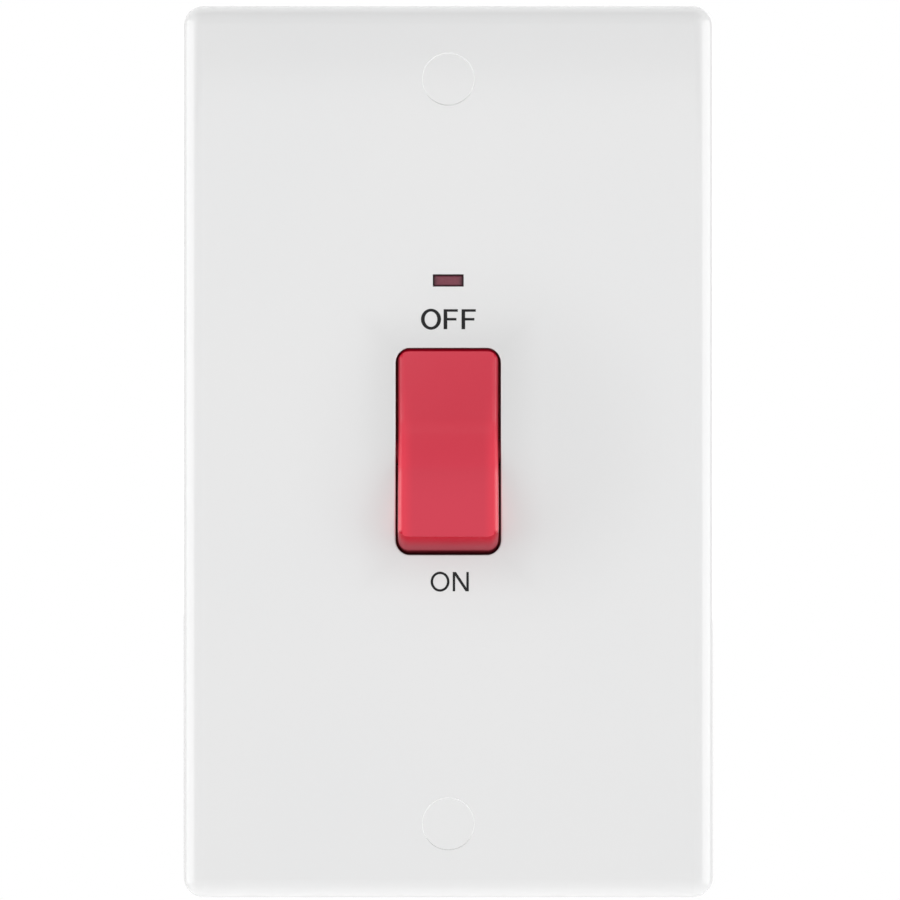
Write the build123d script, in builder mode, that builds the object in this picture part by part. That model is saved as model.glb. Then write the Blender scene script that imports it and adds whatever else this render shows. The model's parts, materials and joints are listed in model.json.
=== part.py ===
from build123d import *
from math import atan2, cos, degrees, hypot, radians, sin, sqrt
import os

# A double-pole cooker switch on a tall moulded plate, in millimetres.
# The origin is the centre of the plate's back, on the wall. X is to the right as seen
# from the front, Y goes into the wall and Z is up. The rocker is in its OFF position.

# Front plate
screw_centres = 120.6          # standard spacing of the two fixing screws
screw_to_edge = 12.7           # from a fixing screw to the plate's upper or lower edge
plate_width = 87.0
plate_depth = 9.0
plate_edge_radius = 3.3        # rounding of the front edge and of the corners
plate_draft = 4.5              # lean of the sides, in degrees
hollow_corner_radius = 1.5     # of the hollow behind
front_wall = 3.0
side_wall = 2.4
rib_thickness = 1.8
rib_height = 3.5
rib_clear_of_base = 3.0        # from the base to the nearest cross rib

# Screw pillars, screws and caps
pillar_radius = 5.75
cap_radius = 4.17
cap_gap = 0.06                 # between a cap and its pocket
cap_pocket_edge = 0.14         # rounding of the pocket's rim
cap_thickness = 1.3
cap_skirt_length = 0.75
cap_skirt_wall = 0.6
cap_edge_radius = 0.05
cap_fit = 0.06                 # skirt in the screw's recess
screw_head_radius = 3.2
screw_head_height = 2.0
screw_head_play = 0.35         # around the head in its recess
screw_head_drop = 0.25         # from the cap's skirt down to the head
screw_neck_radius = 1.4        # waist that keeps the screw in the plate
screw_thread_radius = 1.75
screw_hole_play = 0.35
screw_reach = 30.0             # how far a screw stands out behind the wall plane
screw_thread_start = 0.6       # behind the wall plane
screw_slot_width = 1.0
screw_slot_depth = 1.0

# Rocker and the aperture around it
aperture_width = 17.05
aperture_height = 33.3
aperture_corner_radius = 2.3
aperture_edge_radius = 0.25
rocker_side_gap = 0.4
rocker_end_gap = 0.44
rocker_tilt = 8.8              # either way from the middle, in degrees
pivot_depth = 6.0              # pivot behind the plate's face
valley_radius = 24.0
rocker_corner_radius = 1.8
rocker_side_radius = 1.0       # rounding along the sides of the face
rocker_face_wall = 1.8
rocker_side_wall = 1.6
skirt_lap = 7.5                # skirt left inside the aperture at full tilt, in degrees
trunnion_radius = 2.0
trunnion_clearance = 0.05
trunnion_lug_wall = 0.6
trunnion_end_gap = 0.3
collar_wall = 2.675            # wall around the aperture behind the face, holding the trunnions
collar_gap = 0.5               # from the collar back to the base
rocker_rib = 1.4
rocker_rib_reach = 1.5         # cross rib past the pivot

# Plungers and springs
boss_wall = 0.8
boss_length = 6.0              # past the pivot
boss_to_side = 0.1
plunger_radius = 1.5
plunger_clearance = 0.1
plunger_grip = 3.5             # length that runs in the boss
nose_reach = 10.0              # from the pivot to the plunger's nose
nose_clearance = 0.2
spring_seat_wall = 1.0         # left in front of the spring
spring_wire_radius = 0.2
spring_side_gap = 0.25         # coil in its bore
spigot_radius = 0.8            # on the plunger, inside the coil
spigot_length = 1.0
spring_turns = 5

# See-saw contacts
seesaw_tilt = 7.0              # either way from the middle, in degrees
seesaw_thickness = 1.0
seesaw_length = 14.0           # each arm
seesaw_pivot_depth = 0.7       # pivot behind the arm's front
pivot_rib_radius = 1.3
pivot_rib_clearance = 0.06
tip_distance = 12.0            # contact tip from the see-saw's pivot
tip_radius = 1.8
tip_height = 0.8
contact_clearance = 0.1
rest_pip_radius = 1.5
fulcrum_rise_gap = 0.4         # from an arm at rest down to the fulcrum's crest
fulcrum_web = 0.75             # metal under the groove, above the strip
fulcrum_half_length = 2.2
cheek_thickness = 0.6
cheek_gap = 0.15
cheek_rise = 1.6               # of the cheeks in front of the see-saw's pivot
cheek_half_length = 1.5
strip_thickness = 1.2
strip_end = 2.5                # strip past the contact tip and the fulcrum
strip_neck = 3.5               # where a strip passes the wall of the contact well
barrier_thickness = 1.2        # wall between the poles
pole_gap = 0.25                # air between live metal and the moulding

# Terminals
terminal_spacing = 22.0        # between the two poles' terminals
terminal_width = 9.5
terminal_length = 12.4
terminal_bore_radius = 3.25
terminal_front_wall = 1.5
terminal_screw_wall = 3.2      # threaded wall behind the bore
terminal_screw_radius = 2.5
terminal_head_radius = 2.9
terminal_head_height = 2.4
terminal_head_lift = 1.2       # head backed off from the block
screw_tip_lift = 0.3           # tip of a backed-off screw out of the bore
thread_play = 0.02
earth_width = 8.0
earth_length = 7.2
earth_bore_radius = 2.6
terminal_edge = 0.5            # chamfer on the terminal blocks

# Base
base_wall = 2.2
base_back_wall = 2.2
base_edge_radius = 1.2
well_end_gap = 2.0             # past a see-saw's end
well_wall = 2.0                # between the contact well and the terminals
pocket_fit = 0.15
cable_hole_play = 0.9
driver_hole_play = 0.3
keeper_play = 0.1              # keeper tongue in its slot
keeper_side_gap = 0.2
core_web = 2.0                 # between the moulded hollows in the back
core_floor = 2.4               # left behind the contact well
core_rows = 3
core_columns = 2
base_screw_spacing_x = 29.6
base_screw_spacing_z = 25.0
base_screw_radius = 1.5
base_screw_head_radius = 2.7
base_screw_head_height = 1.8
base_screw_seat = 6.0          # depth of the screw's seat behind the base's front
base_screw_grip = 5.0          # length in the plate's post
base_screw_play = 0.2
base_screw_head_play = 0.5
post_wall = 1.25

# Indicator
neon_height = 27.7             # above the plate's centre
window_width = 5.0
window_height = 2.0
window_fit = 0.1
lens_recess = 0.5              # lens face below the plate's face
lens_flange = 0.4              # past the window, sideways
lens_flange_tall = 1.1         # past the window, up and down
lens_flange_thickness = 1.0
lens_edge_radius = 0.3
lamp_radius = 2.0
lamp_length = 9.0
lamp_gap = 0.1                 # lamp to lens and lamp to clip
clip_thickness = 1.0
clip_finger = 1.2
clip_past_lamp = 0.8           # clip's mouth behind the lamp's middle
resistor_radius = 0.9
resistor_length = 4.0
lead_radius = 0.3
lead_to_resistor = 1.3

# Depths along Y, where the wall plane is 0
face_y = -plate_depth
wall_back_y = face_y + front_wall
pivot_y = face_y + pivot_depth
cap_seat_y = face_y + cap_thickness
head_top_y = cap_seat_y + cap_skirt_length + screw_head_drop
head_seat_y = head_top_y + screw_head_height
seesaw_y = pivot_y + nose_reach + nose_clearance + seesaw_pivot_depth / cos(radians(seesaw_tilt))
arm_back_y = seesaw_y - seesaw_pivot_depth + seesaw_thickness
strip_y = seesaw_y + pivot_rib_radius + pivot_rib_clearance + fulcrum_web
terminal_y = strip_y + strip_thickness
bore_y = terminal_y + terminal_front_wall + terminal_bore_radius
terminal_back_y = bore_y + terminal_bore_radius + terminal_screw_wall
base_back_y = terminal_back_y + base_back_wall
earth_bore_y = terminal_y + terminal_front_wall + earth_bore_radius
earth_back_y = earth_bore_y + earth_bore_radius + terminal_screw_wall
lens_front_y = face_y + lens_recess
lamp_y = wall_back_y + lens_flange_thickness + lamp_gap + lamp_radius

# Widths along X
plate_height = screw_centres + 2 * screw_to_edge
rocker_width = aperture_width - 2 * rocker_side_gap
collar_half_width = aperture_width / 2 + collar_wall
bore_radius = plunger_radius + plunger_clearance
boss_radius = bore_radius + boss_wall
pole_x = rocker_width / 2 - rocker_side_wall - boss_to_side - boss_radius
cheek_outer = pole_x - barrier_thickness / 2 - pole_gap
seesaw_half_width = cheek_outer - cheek_thickness - cheek_gap
well_half_width = pole_x + cheek_outer + pole_gap
terminal_x = terminal_spacing / 2
earth_start_x = collar_half_width + pocket_fit
post_radius = base_screw_radius + post_wall
base_head_hole_radius = base_screw_head_radius + base_screw_head_play
base_half_width = base_wall + max(
    earth_start_x + earth_length + 2 * pocket_fit,
    terminal_x + terminal_width / 2 + pocket_fit,
    base_screw_spacing_x / 2 + base_head_hole_radius,
)

# Heights along Z
rocker_reach = hypot(pivot_depth, aperture_height / 2 - rocker_end_gap)
aperture_reach = hypot(pivot_depth, aperture_height / 2)
well_half_height = seesaw_length + well_end_gap
pocket_start_z = well_half_height + well_wall
terminal_z = pocket_start_z + pocket_fit + terminal_length / 2
pocket_length = terminal_length + 2 * pocket_fit
base_half_height = pocket_start_z + pocket_length + base_wall
screw_z = screw_centres / 2

poles = {"live": pole_x, "neutral": -pole_x}
sides = {"load": 1, "supply": -1}


def facing(y):
    """The plane across the switch at depth y: sketch x is X, sketch y is Z, and it faces the front."""
    return Plane.XZ.offset(-y)


def tilted(x, y, angle):
    """A side-view plane through (x, y, 0), turned about X: sketch x goes into the wall, sketch y up."""
    turn = radians(angle)
    return Plane(origin=(x, y, 0), x_dir=(0, cos(turn), sin(turn)), z_dir=(1, 0, 0))


def plunger_plane(distance):
    """A plane across the plungers, this far behind the pivot: sketch x is X, and it faces forward."""
    inward = Vector(0, cos(radians(rocker_tilt)), -sin(radians(rocker_tilt)))
    return Plane(origin=Vector(0, pivot_y, 0) + inward * distance, x_dir=(1, 0, 0), z_dir=-inward)


def mirrored(*values):
    """Each value and its opposite."""
    return [sign * value for value in values for sign in (1, -1)]


def finish(builder, name):
    """Name the finished piece and write it to its own file."""
    builder.part.label = name
    export_step(builder.part, f"parts/{name}.step")


os.makedirs("parts", exist_ok=True)

pivot_axis = Axis((0, pivot_y, 0), (1, 0, 0))
rocker_plane = tilted(0, pivot_y, -rocker_tilt)
screw_spots = [(0, z) for z in mirrored(screw_z)]
post_spots = [
    (x, z) for x in mirrored(base_screw_spacing_x / 2) for z in mirrored(base_screw_spacing_z / 2)
]

# Front plate: a drafted tray with a rounded front edge, hollow behind
cap_pocket_radius = cap_radius + cap_gap
head_recess_radius = screw_head_radius + screw_head_play
clip_x = window_width / 2 + lens_flange + lamp_gap + clip_thickness / 2
cross_rib_z = base_half_height + rib_clear_of_base
inner_width = plate_width - 2 * side_wall
inner_height = plate_height - 2 * side_wall
clip_mouth_y = lamp_y + clip_past_lamp
with BuildPart() as front_plate:
    with BuildSketch(facing(0)):
        Rectangle(plate_width, plate_height)
    extrude(amount=plate_depth, taper=plate_draft)
    fillet(
        front_plate.edges().filter_by_position(Axis.Y, face_y, 0, inclusive=(True, False)),
        plate_edge_radius,
    )
    with BuildSketch(facing(0)):
        RectangleRounded(inner_width, inner_height, hollow_corner_radius)
    extrude(amount=-wall_back_y, taper=plate_draft, mode=Mode.SUBTRACT)
    # Cross ribs, and ribs from them through the pillars to the ends
    with BuildSketch(facing(wall_back_y)):
        with Locations(*[(0, z) for z in mirrored(cross_rib_z)]):
            Rectangle(inner_width, rib_thickness)
        for sign in (1, -1):
            with Locations((0, sign * cross_rib_z)):
                Rectangle(
                    rib_thickness,
                    inner_height / 2 - cross_rib_z,
                    align=(Align.CENTER, Align.MIN if sign > 0 else Align.MAX),
                )
    extrude(amount=-rib_height)
    # Screw pillars
    with BuildSketch(facing(wall_back_y)):
        with Locations(*screw_spots):
            Circle(pillar_radius)
    extrude(amount=wall_back_y)
    # Collar that carries the rocker, and posts for the base's screws
    with BuildSketch(facing(wall_back_y)):
        RectangleRounded(
            2 * collar_half_width,
            2 * (aperture_reach + collar_wall),
            aperture_corner_radius + collar_wall / 2,
        )
    extrude(amount=wall_back_y + collar_gap)
    with BuildSketch(facing(wall_back_y)):
        with Locations(*post_spots):
            Circle(post_radius)
    extrude(amount=wall_back_y)
    # Clip ears behind the indicator
    with BuildSketch(facing(wall_back_y)):
        with Locations(*[(x, neon_height) for x in mirrored(clip_x)]):
            Rectangle(clip_thickness, 2 * (lamp_radius + lamp_gap + clip_finger))
    extrude(amount=wall_back_y - clip_mouth_y)
    with BuildSketch(Plane.YZ):
        with Locations((lamp_y, neon_height)):
            Circle(lamp_radius + lamp_gap)
            Rectangle(
                clip_past_lamp,
                2 * lamp_radius,
                align=(Align.MIN, Align.CENTER),
            )
    extrude(amount=clip_x + clip_thickness, both=True, mode=Mode.SUBTRACT)
    # Aperture for the rocker, round about the pivot so that the gap stays even
    with BuildSketch(facing(pivot_y)) as aperture:
        Rectangle(aperture_width, aperture_reach, align=(Align.CENTER, Align.MIN))
        fillet(aperture.vertices().group_by(Axis.Y)[-1], aperture_corner_radius)
    revolve(axis=pivot_axis, mode=Mode.SUBTRACT)
    # Slots that take the trunnions from behind
    with BuildSketch(Plane.YZ):
        with Locations((pivot_y, 0)):
            Circle(trunnion_radius + trunnion_clearance)
            Rectangle(
                plate_depth,
                2 * (trunnion_radius + trunnion_clearance),
                align=(Align.MIN, Align.CENTER),
            )
    extrude(amount=collar_half_width, both=True, mode=Mode.SUBTRACT)
    # Cap pockets, screw recesses and screw holes
    for depth, radius in (
        (cap_seat_y, cap_pocket_radius),
        (head_seat_y, head_recess_radius),
        (0, screw_thread_radius + screw_hole_play),
    ):
        with BuildSketch(facing(depth)):
            with Locations(*screw_spots):
                Circle(radius)
        extrude(amount=depth - face_y, mode=Mode.SUBTRACT)
    pocket_rims = front_plate.edges().filter_by(GeomType.CIRCLE).sort_by(Axis.Y)[: len(screw_spots)]
    fillet(pocket_rims, cap_pocket_edge)
    # Pilot holes in the posts, and the indicator's window
    with BuildSketch(facing(0)):
        with Locations(*post_spots):
            Circle(base_screw_radius + thread_play)
    extrude(amount=base_screw_grip + base_screw_play, mode=Mode.SUBTRACT)
    with BuildSketch(facing(wall_back_y)):
        with Locations((0, neon_height)):
            Rectangle(window_width, window_height)
    extrude(amount=front_wall, mode=Mode.SUBTRACT)
    face_rims = (
        front_plate.faces()
        .filter_by(Axis.Y)
        .sort_by(Axis.Y)[0]
        .inner_wires()
        .edges()
        .filter_by(lambda edge: abs(edge.center().Z) < neon_height - window_height)
    )
    fillet(face_rims, aperture_edge_radius)
finish(front_plate, "front_plate")

# Screw caps: a flush disc with a hollow skirt that grips the screw's recess
cap_skirt_radius = head_recess_radius - cap_fit
for name, z in (("screw_cap_upper", screw_z), ("screw_cap_lower", -screw_z)):
    with BuildPart() as cap:
        with BuildSketch(facing(cap_seat_y)):
            with Locations((0, z)):
                Circle(cap_radius)
        extrude(amount=cap_thickness)
        fillet(cap.faces().sort_by(Axis.Y)[0].edges(), cap_edge_radius)
        with BuildSketch(facing(cap_seat_y)):
            with Locations((0, z)):
                Circle(cap_skirt_radius)
                Circle(cap_skirt_radius - cap_skirt_wall, mode=Mode.SUBTRACT)
        extrude(amount=-cap_skirt_length)
    finish(cap, name)

# Plate screws: slotted heads, a waist inside the plate and a plain stem for the thread
with BuildPart() as plate_screws:
    for bottom, top, radius in (
        (head_seat_y, head_top_y, screw_head_radius),
        (screw_thread_start, head_seat_y, screw_neck_radius),
        (screw_reach, screw_thread_start, screw_thread_radius),
    ):
        with BuildSketch(facing(bottom)):
            with Locations(*screw_spots):
                Circle(radius)
        extrude(amount=bottom - top)
    with BuildSketch(facing(head_top_y)):
        with Locations(*screw_spots):
            Rectangle(2 * screw_head_radius, screw_slot_width)
    extrude(amount=-screw_slot_depth, mode=Mode.SUBTRACT)
finish(plate_screws, "plate_screws")


def rocker_section(depth, reach, back):
    """Side view of the rocker: two faces meeting in a valley, round ends about the pivot, flat back."""
    tilt = radians(rocker_tilt)
    corner = atan2(sqrt(reach**2 - depth**2), depth) - tilt
    skirt = atan2(sqrt(reach**2 - back**2), back)
    with BuildSketch(rocker_plane) as section:
        with BuildLine():
            FilletPolyline(
                (-reach * cos(corner), reach * sin(corner)),
                (-depth / cos(tilt), 0),
                (-reach * cos(corner), -reach * sin(corner)),
                radius=valley_radius,
            )
            for sign in (1, -1):
                CenterArc(
                    (0, 0), reach, sign * (180 - degrees(corner)), -sign * degrees(skirt - corner)
                )
            Line((-back, reach * sin(skirt)), (-back, -reach * sin(skirt)))
        make_face()
    return section.sketch


def is_side_rim(edge):
    """Whether an edge runs along one side of the rocker's front faces."""
    place = rocker_plane.to_local_coords(edge.center())
    return place.X < -pivot_depth and abs(place.Z) > rocker_width / 4


# Rocker: a thin shell with a valley across its face, on two trunnions, with two plunger bosses inside
face_corner = atan2(aperture_height / 2 - rocker_end_gap, pivot_depth)
skirt_angle = face_corner + radians(rocker_tilt + skirt_lap)
rocker_back = rocker_reach * cos(skirt_angle)
outer_section = rocker_section(pivot_depth, rocker_reach, rocker_back)
longer_section = rocker_section(pivot_depth, aperture_reach + collar_wall, rocker_back)
inner_section = rocker_section(
    pivot_depth - rocker_face_wall, rocker_reach - rocker_side_wall, rocker_back
)
inner_half_width = rocker_width / 2 - rocker_side_wall
into_face_wall = pivot_depth - rocker_face_wall / 2
spring_seat = -pivot_depth + rocker_face_wall + spring_seat_wall
trunnion_end = collar_half_width - trunnion_end_gap
pole_spots = [(x, 0) for x in poles.values()]
with BuildPart() as rocker:
    extrude(outer_section, amount=rocker_width / 2, both=True)
    end_edges = rocker.edges().filter_by(GeomType.CIRCLE)
    fillet(
        end_edges.filter_by(lambda edge: abs(edge.radius - rocker_reach) < rocker_end_gap),
        rocker_corner_radius,
    )
    # Rounding along the sides only, cut from a longer bar, so that both ends keep a crisp crest
    with BuildPart(mode=Mode.INTERSECT) as rounded_bar:
        extrude(longer_section, amount=rocker_width / 2, both=True)
        fillet(rounded_bar.edges().filter_by(is_side_rim), rocker_side_radius)
    extrude(inner_section, amount=inner_half_width, both=True, mode=Mode.SUBTRACT)
    # A lengthwise web, a cross rib and the bosses
    extrude(inner_section, amount=rocker_rib / 2, both=True)
    with BuildSketch(plunger_plane(rocker_rib_reach)):
        Rectangle(2 * inner_half_width + rocker_side_wall, rocker_rib)
    extrude(amount=rocker_rib_reach + into_face_wall)
    with BuildSketch(plunger_plane(boss_length)):
        with Locations(*pole_spots):
            Circle(boss_radius)
    extrude(amount=boss_length + into_face_wall)
    with BuildSketch(plunger_plane(boss_length)):
        with Locations(*pole_spots):
            Circle(bore_radius)
    extrude(amount=boss_length - spring_seat, mode=Mode.SUBTRACT)
    # Lugs and trunnions at the sides
    for sign in (1, -1):
        with BuildSketch(tilted(sign * inner_half_width, pivot_y, -rocker_tilt)):
            Circle(trunnion_radius + trunnion_lug_wall)
        extrude(amount=sign * rocker_side_wall)
        with BuildSketch(tilted(sign * inner_half_width, pivot_y, -rocker_tilt)):
            Circle(trunnion_radius)
        extrude(amount=sign * (trunnion_end - inner_half_width))
finish(rocker, "rocker")

# Plungers: round-nosed pins in the bosses, each with a spigot for its spring
plunger_top = boss_length - plunger_grip
for name, x in poles.items():
    plunger_side = tilted(x, pivot_y, -rocker_tilt)
    with BuildPart() as plunger:
        with BuildSketch(plunger_side):
            with BuildLine():
                Polyline(
                    (nose_reach, 0),
                    (plunger_top - spigot_length, 0),
                    (plunger_top - spigot_length, spigot_radius),
                    (plunger_top, spigot_radius),
                    (plunger_top, plunger_radius),
                    (nose_reach - plunger_radius, plunger_radius),
                )
                CenterArc((nose_reach - plunger_radius, 0), plunger_radius, 0, 90)
            make_face()
        revolve(axis=Axis(plunger_side.origin, plunger_side.x_dir))
    finish(plunger, f"plunger_{name}")

# Plunger springs: coils between the bottom of each bore and the plunger
spring_height = plunger_top - spring_seat - 2 * spring_wire_radius
coil_radius = bore_radius - spring_side_gap - spring_wire_radius
for name, x in poles.items():
    spring_side = tilted(x, pivot_y, -rocker_tilt)
    with BuildLine() as coil:
        Helix(
            pitch=spring_height / spring_turns,
            height=spring_height,
            radius=coil_radius,
            center=spring_side.origin + spring_side.x_dir * (spring_seat + spring_wire_radius),
            direction=spring_side.x_dir,
        )
    with BuildPart() as plunger_spring:
        with BuildSketch(Plane(origin=coil.line @ 0, z_dir=coil.line % 0)):
            Circle(spring_wire_radius)
        sweep(path=coil.line, is_frenet=True)
    finish(plunger_spring, f"plunger_spring_{name}")


def along_arm(distance, depth):
    """A point on the see-saw's upper arm, in its side view: distance from the pivot, depth behind it."""
    tilt = radians(seesaw_tilt)
    return (depth * cos(tilt) - distance * sin(tilt), depth * sin(tilt) + distance * cos(tilt))


# See-saw contacts: V-bent copper strips that rock on a half-round rib across their back
arm_front = -seesaw_pivot_depth
arm_back = arm_front + seesaw_thickness
for name, x in poles.items():
    seesaw_side = tilted(x, seesaw_y, seesaw_tilt)
    upper_front = along_arm(seesaw_length, arm_front)
    upper_back = along_arm(seesaw_length, arm_back)
    bend = 1 / cos(radians(seesaw_tilt))
    with BuildPart() as moving_contact:
        with BuildSketch(seesaw_side):
            Circle(pivot_rib_radius)
            Rectangle(
                pivot_rib_radius,
                2 * pivot_rib_radius,
                align=(Align.MIN, Align.CENTER),
                mode=Mode.INTERSECT,
            )
            with BuildLine():
                Polyline(
                    upper_front,
                    (arm_front * bend, 0),
                    (upper_front[0], -upper_front[1]),
                    (upper_back[0], -upper_back[1]),
                    (arm_back * bend, 0),
                    upper_back,
                    close=True,
                )
            make_face()
        extrude(amount=seesaw_half_width, both=True)
    finish(moving_contact, f"moving_contact_{name}")
    tip_depth, tip_height_z = along_arm(tip_distance, arm_back)
    facing_tip = Plane(
        origin=seesaw_side.from_local_coords((tip_depth, tip_height_z, 0)),
        x_dir=(1, 0, 0),
        z_dir=(0, cos(2 * radians(seesaw_tilt)), sin(2 * radians(seesaw_tilt))),
    )
    with BuildPart() as moving_tip:
        with BuildSketch(facing_tip):
            Circle(tip_radius)
        extrude(amount=tip_height)
    finish(moving_tip, f"moving_tip_{name}")


def span(x_range, z_range):
    """A rectangle between two values across and two values up, each pair in any order."""
    with Locations((sum(x_range) / 2, sum(z_range) / 2)):
        Rectangle(abs(x_range[1] - x_range[0]), abs(z_range[1] - z_range[0]))


# Contact strips: blanked brass, from the contact well through a neck to a tab on the terminal block
fixed_tip_y = arm_back_y + tip_height + contact_clearance
rest_pip_y = arm_back_y + contact_clearance
cheek_x = cheek_outer - cheek_thickness / 2
well_starts = {"load": tip_distance - strip_end, "supply": -fulcrum_half_length - strip_end}
for name, x in poles.items():
    hand = x / pole_x
    for side, up in sides.items():
        well_end = up * (well_half_height - pole_gap)
        tab_start = up * (pocket_start_z + pocket_fit)
        tab_end = tab_start + up * terminal_length
        with BuildPart() as strip:
            with BuildSketch(facing(terminal_y)):
                span((x - cheek_outer, x + cheek_outer), (up * well_starts[side], well_end))
                span((x - strip_neck / 2, x + strip_neck / 2), (well_end, tab_start))
                span(
                    (hand * (pole_x - cheek_outer), hand * (terminal_x + terminal_width / 2)),
                    (tab_start, tab_end),
                )
            extrude(amount=strip_thickness)
            if side == "supply":
                # The fulcrum's crest with its groove, cheeks beside the see-saw, and the pip it rests on
                with BuildSketch(facing(strip_y)):
                    with Locations((x, 0)):
                        Rectangle(2 * cheek_outer, 2 * fulcrum_half_length)
                extrude(amount=strip_y - arm_back_y - fulcrum_rise_gap)
                with BuildSketch(Plane.YZ.offset(x)):
                    with Locations((seesaw_y, 0)):
                        Circle(pivot_rib_radius + pivot_rib_clearance)
                extrude(amount=cheek_outer, both=True, mode=Mode.SUBTRACT)
                with BuildSketch(facing(strip_y)):
                    with Locations(*[(x + offset, 0) for offset in mirrored(cheek_x)]):
                        Rectangle(cheek_thickness, 2 * cheek_half_length)
                extrude(amount=strip_y - seesaw_y + cheek_rise)
                with BuildSketch(facing(strip_y)):
                    with Locations((x, -tip_distance)):
                        Circle(rest_pip_radius)
                extrude(amount=strip_y - rest_pip_y)
        finish(strip, f"{side}_strip_{name}")
    with BuildPart() as fixed_tip:
        with BuildSketch(facing(strip_y)):
            with Locations((x, tip_distance)):
                Circle(tip_radius)
        extrude(amount=strip_y - fixed_tip_y)
    finish(fixed_tip, f"fixed_tip_{name}")

# Pillar terminals: brass blocks with a cable bore along Z and a clamping screw from behind
terminal_spots = {
    f"{side}_terminal_{name}": (x / pole_x * terminal_x, up * terminal_z)
    for name, x in poles.items()
    for side, up in sides.items()
}
for name, (x, z) in terminal_spots.items():
    with BuildPart() as terminal:
        with BuildSketch(facing(terminal_back_y)):
            with Locations((x, z)):
                Rectangle(terminal_width, terminal_length)
        extrude(amount=terminal_back_y - terminal_y)
        chamfer(terminal.edges().filter_by(Axis.Y), terminal_edge)
        with BuildSketch(Plane.XY.offset(z)):
            with Locations((x, bore_y)):
                Circle(terminal_bore_radius)
        extrude(amount=terminal_length, both=True, mode=Mode.SUBTRACT)
        with BuildSketch(facing(terminal_back_y)):
            with Locations((x, z)):
                Circle(terminal_screw_radius + thread_play)
        extrude(amount=terminal_back_y - bore_y, mode=Mode.SUBTRACT)
    finish(terminal, name)


def clamp_screws(spots, bore_back, block_back):
    """Slotted clamping screws, backed off so that each tip stands clear of its bore."""
    head_y = block_back + terminal_head_lift
    head_back = head_y + terminal_head_height
    with BuildPart() as screws:
        for back, front, radius in (
            (head_y, bore_back + screw_tip_lift, terminal_screw_radius),
            (head_back, head_y, terminal_head_radius),
        ):
            with BuildSketch(facing(back)):
                with Locations(*spots):
                    Circle(radius)
            extrude(amount=back - front)
        with BuildSketch(facing(head_back)):
            with Locations(*spots):
                Rectangle(2 * terminal_head_radius, screw_slot_width)
        extrude(amount=screw_slot_depth, mode=Mode.SUBTRACT)
    return screws


finish(
    clamp_screws(terminal_spots.values(), bore_y + terminal_bore_radius, terminal_back_y),
    "terminal_screws",
)

# Earth terminal: a smaller block whose bore opens to the side of the base
earth_x = earth_start_x + pocket_fit + earth_length / 2
with BuildPart() as earth_terminal:
    with BuildSketch(facing(earth_back_y)):
        with Locations((earth_x, 0)):
            Rectangle(earth_length, earth_width)
    extrude(amount=earth_back_y - terminal_y)
    chamfer(earth_terminal.edges().filter_by(Axis.Y), terminal_edge)
    with BuildSketch(Plane.YZ.offset(earth_x)):
        with Locations((earth_bore_y, 0)):
            Circle(earth_bore_radius)
    extrude(amount=earth_length, both=True, mode=Mode.SUBTRACT)
    with BuildSketch(facing(earth_back_y)):
        with Locations((earth_x, 0)):
            Circle(terminal_screw_radius + thread_play)
    extrude(amount=earth_back_y - earth_bore_y, mode=Mode.SUBTRACT)
finish(earth_terminal, "earth_terminal")
finish(
    clamp_screws([(earth_x, 0)], earth_bore_y + earth_bore_radius, earth_back_y), "earth_screw"
)

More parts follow.
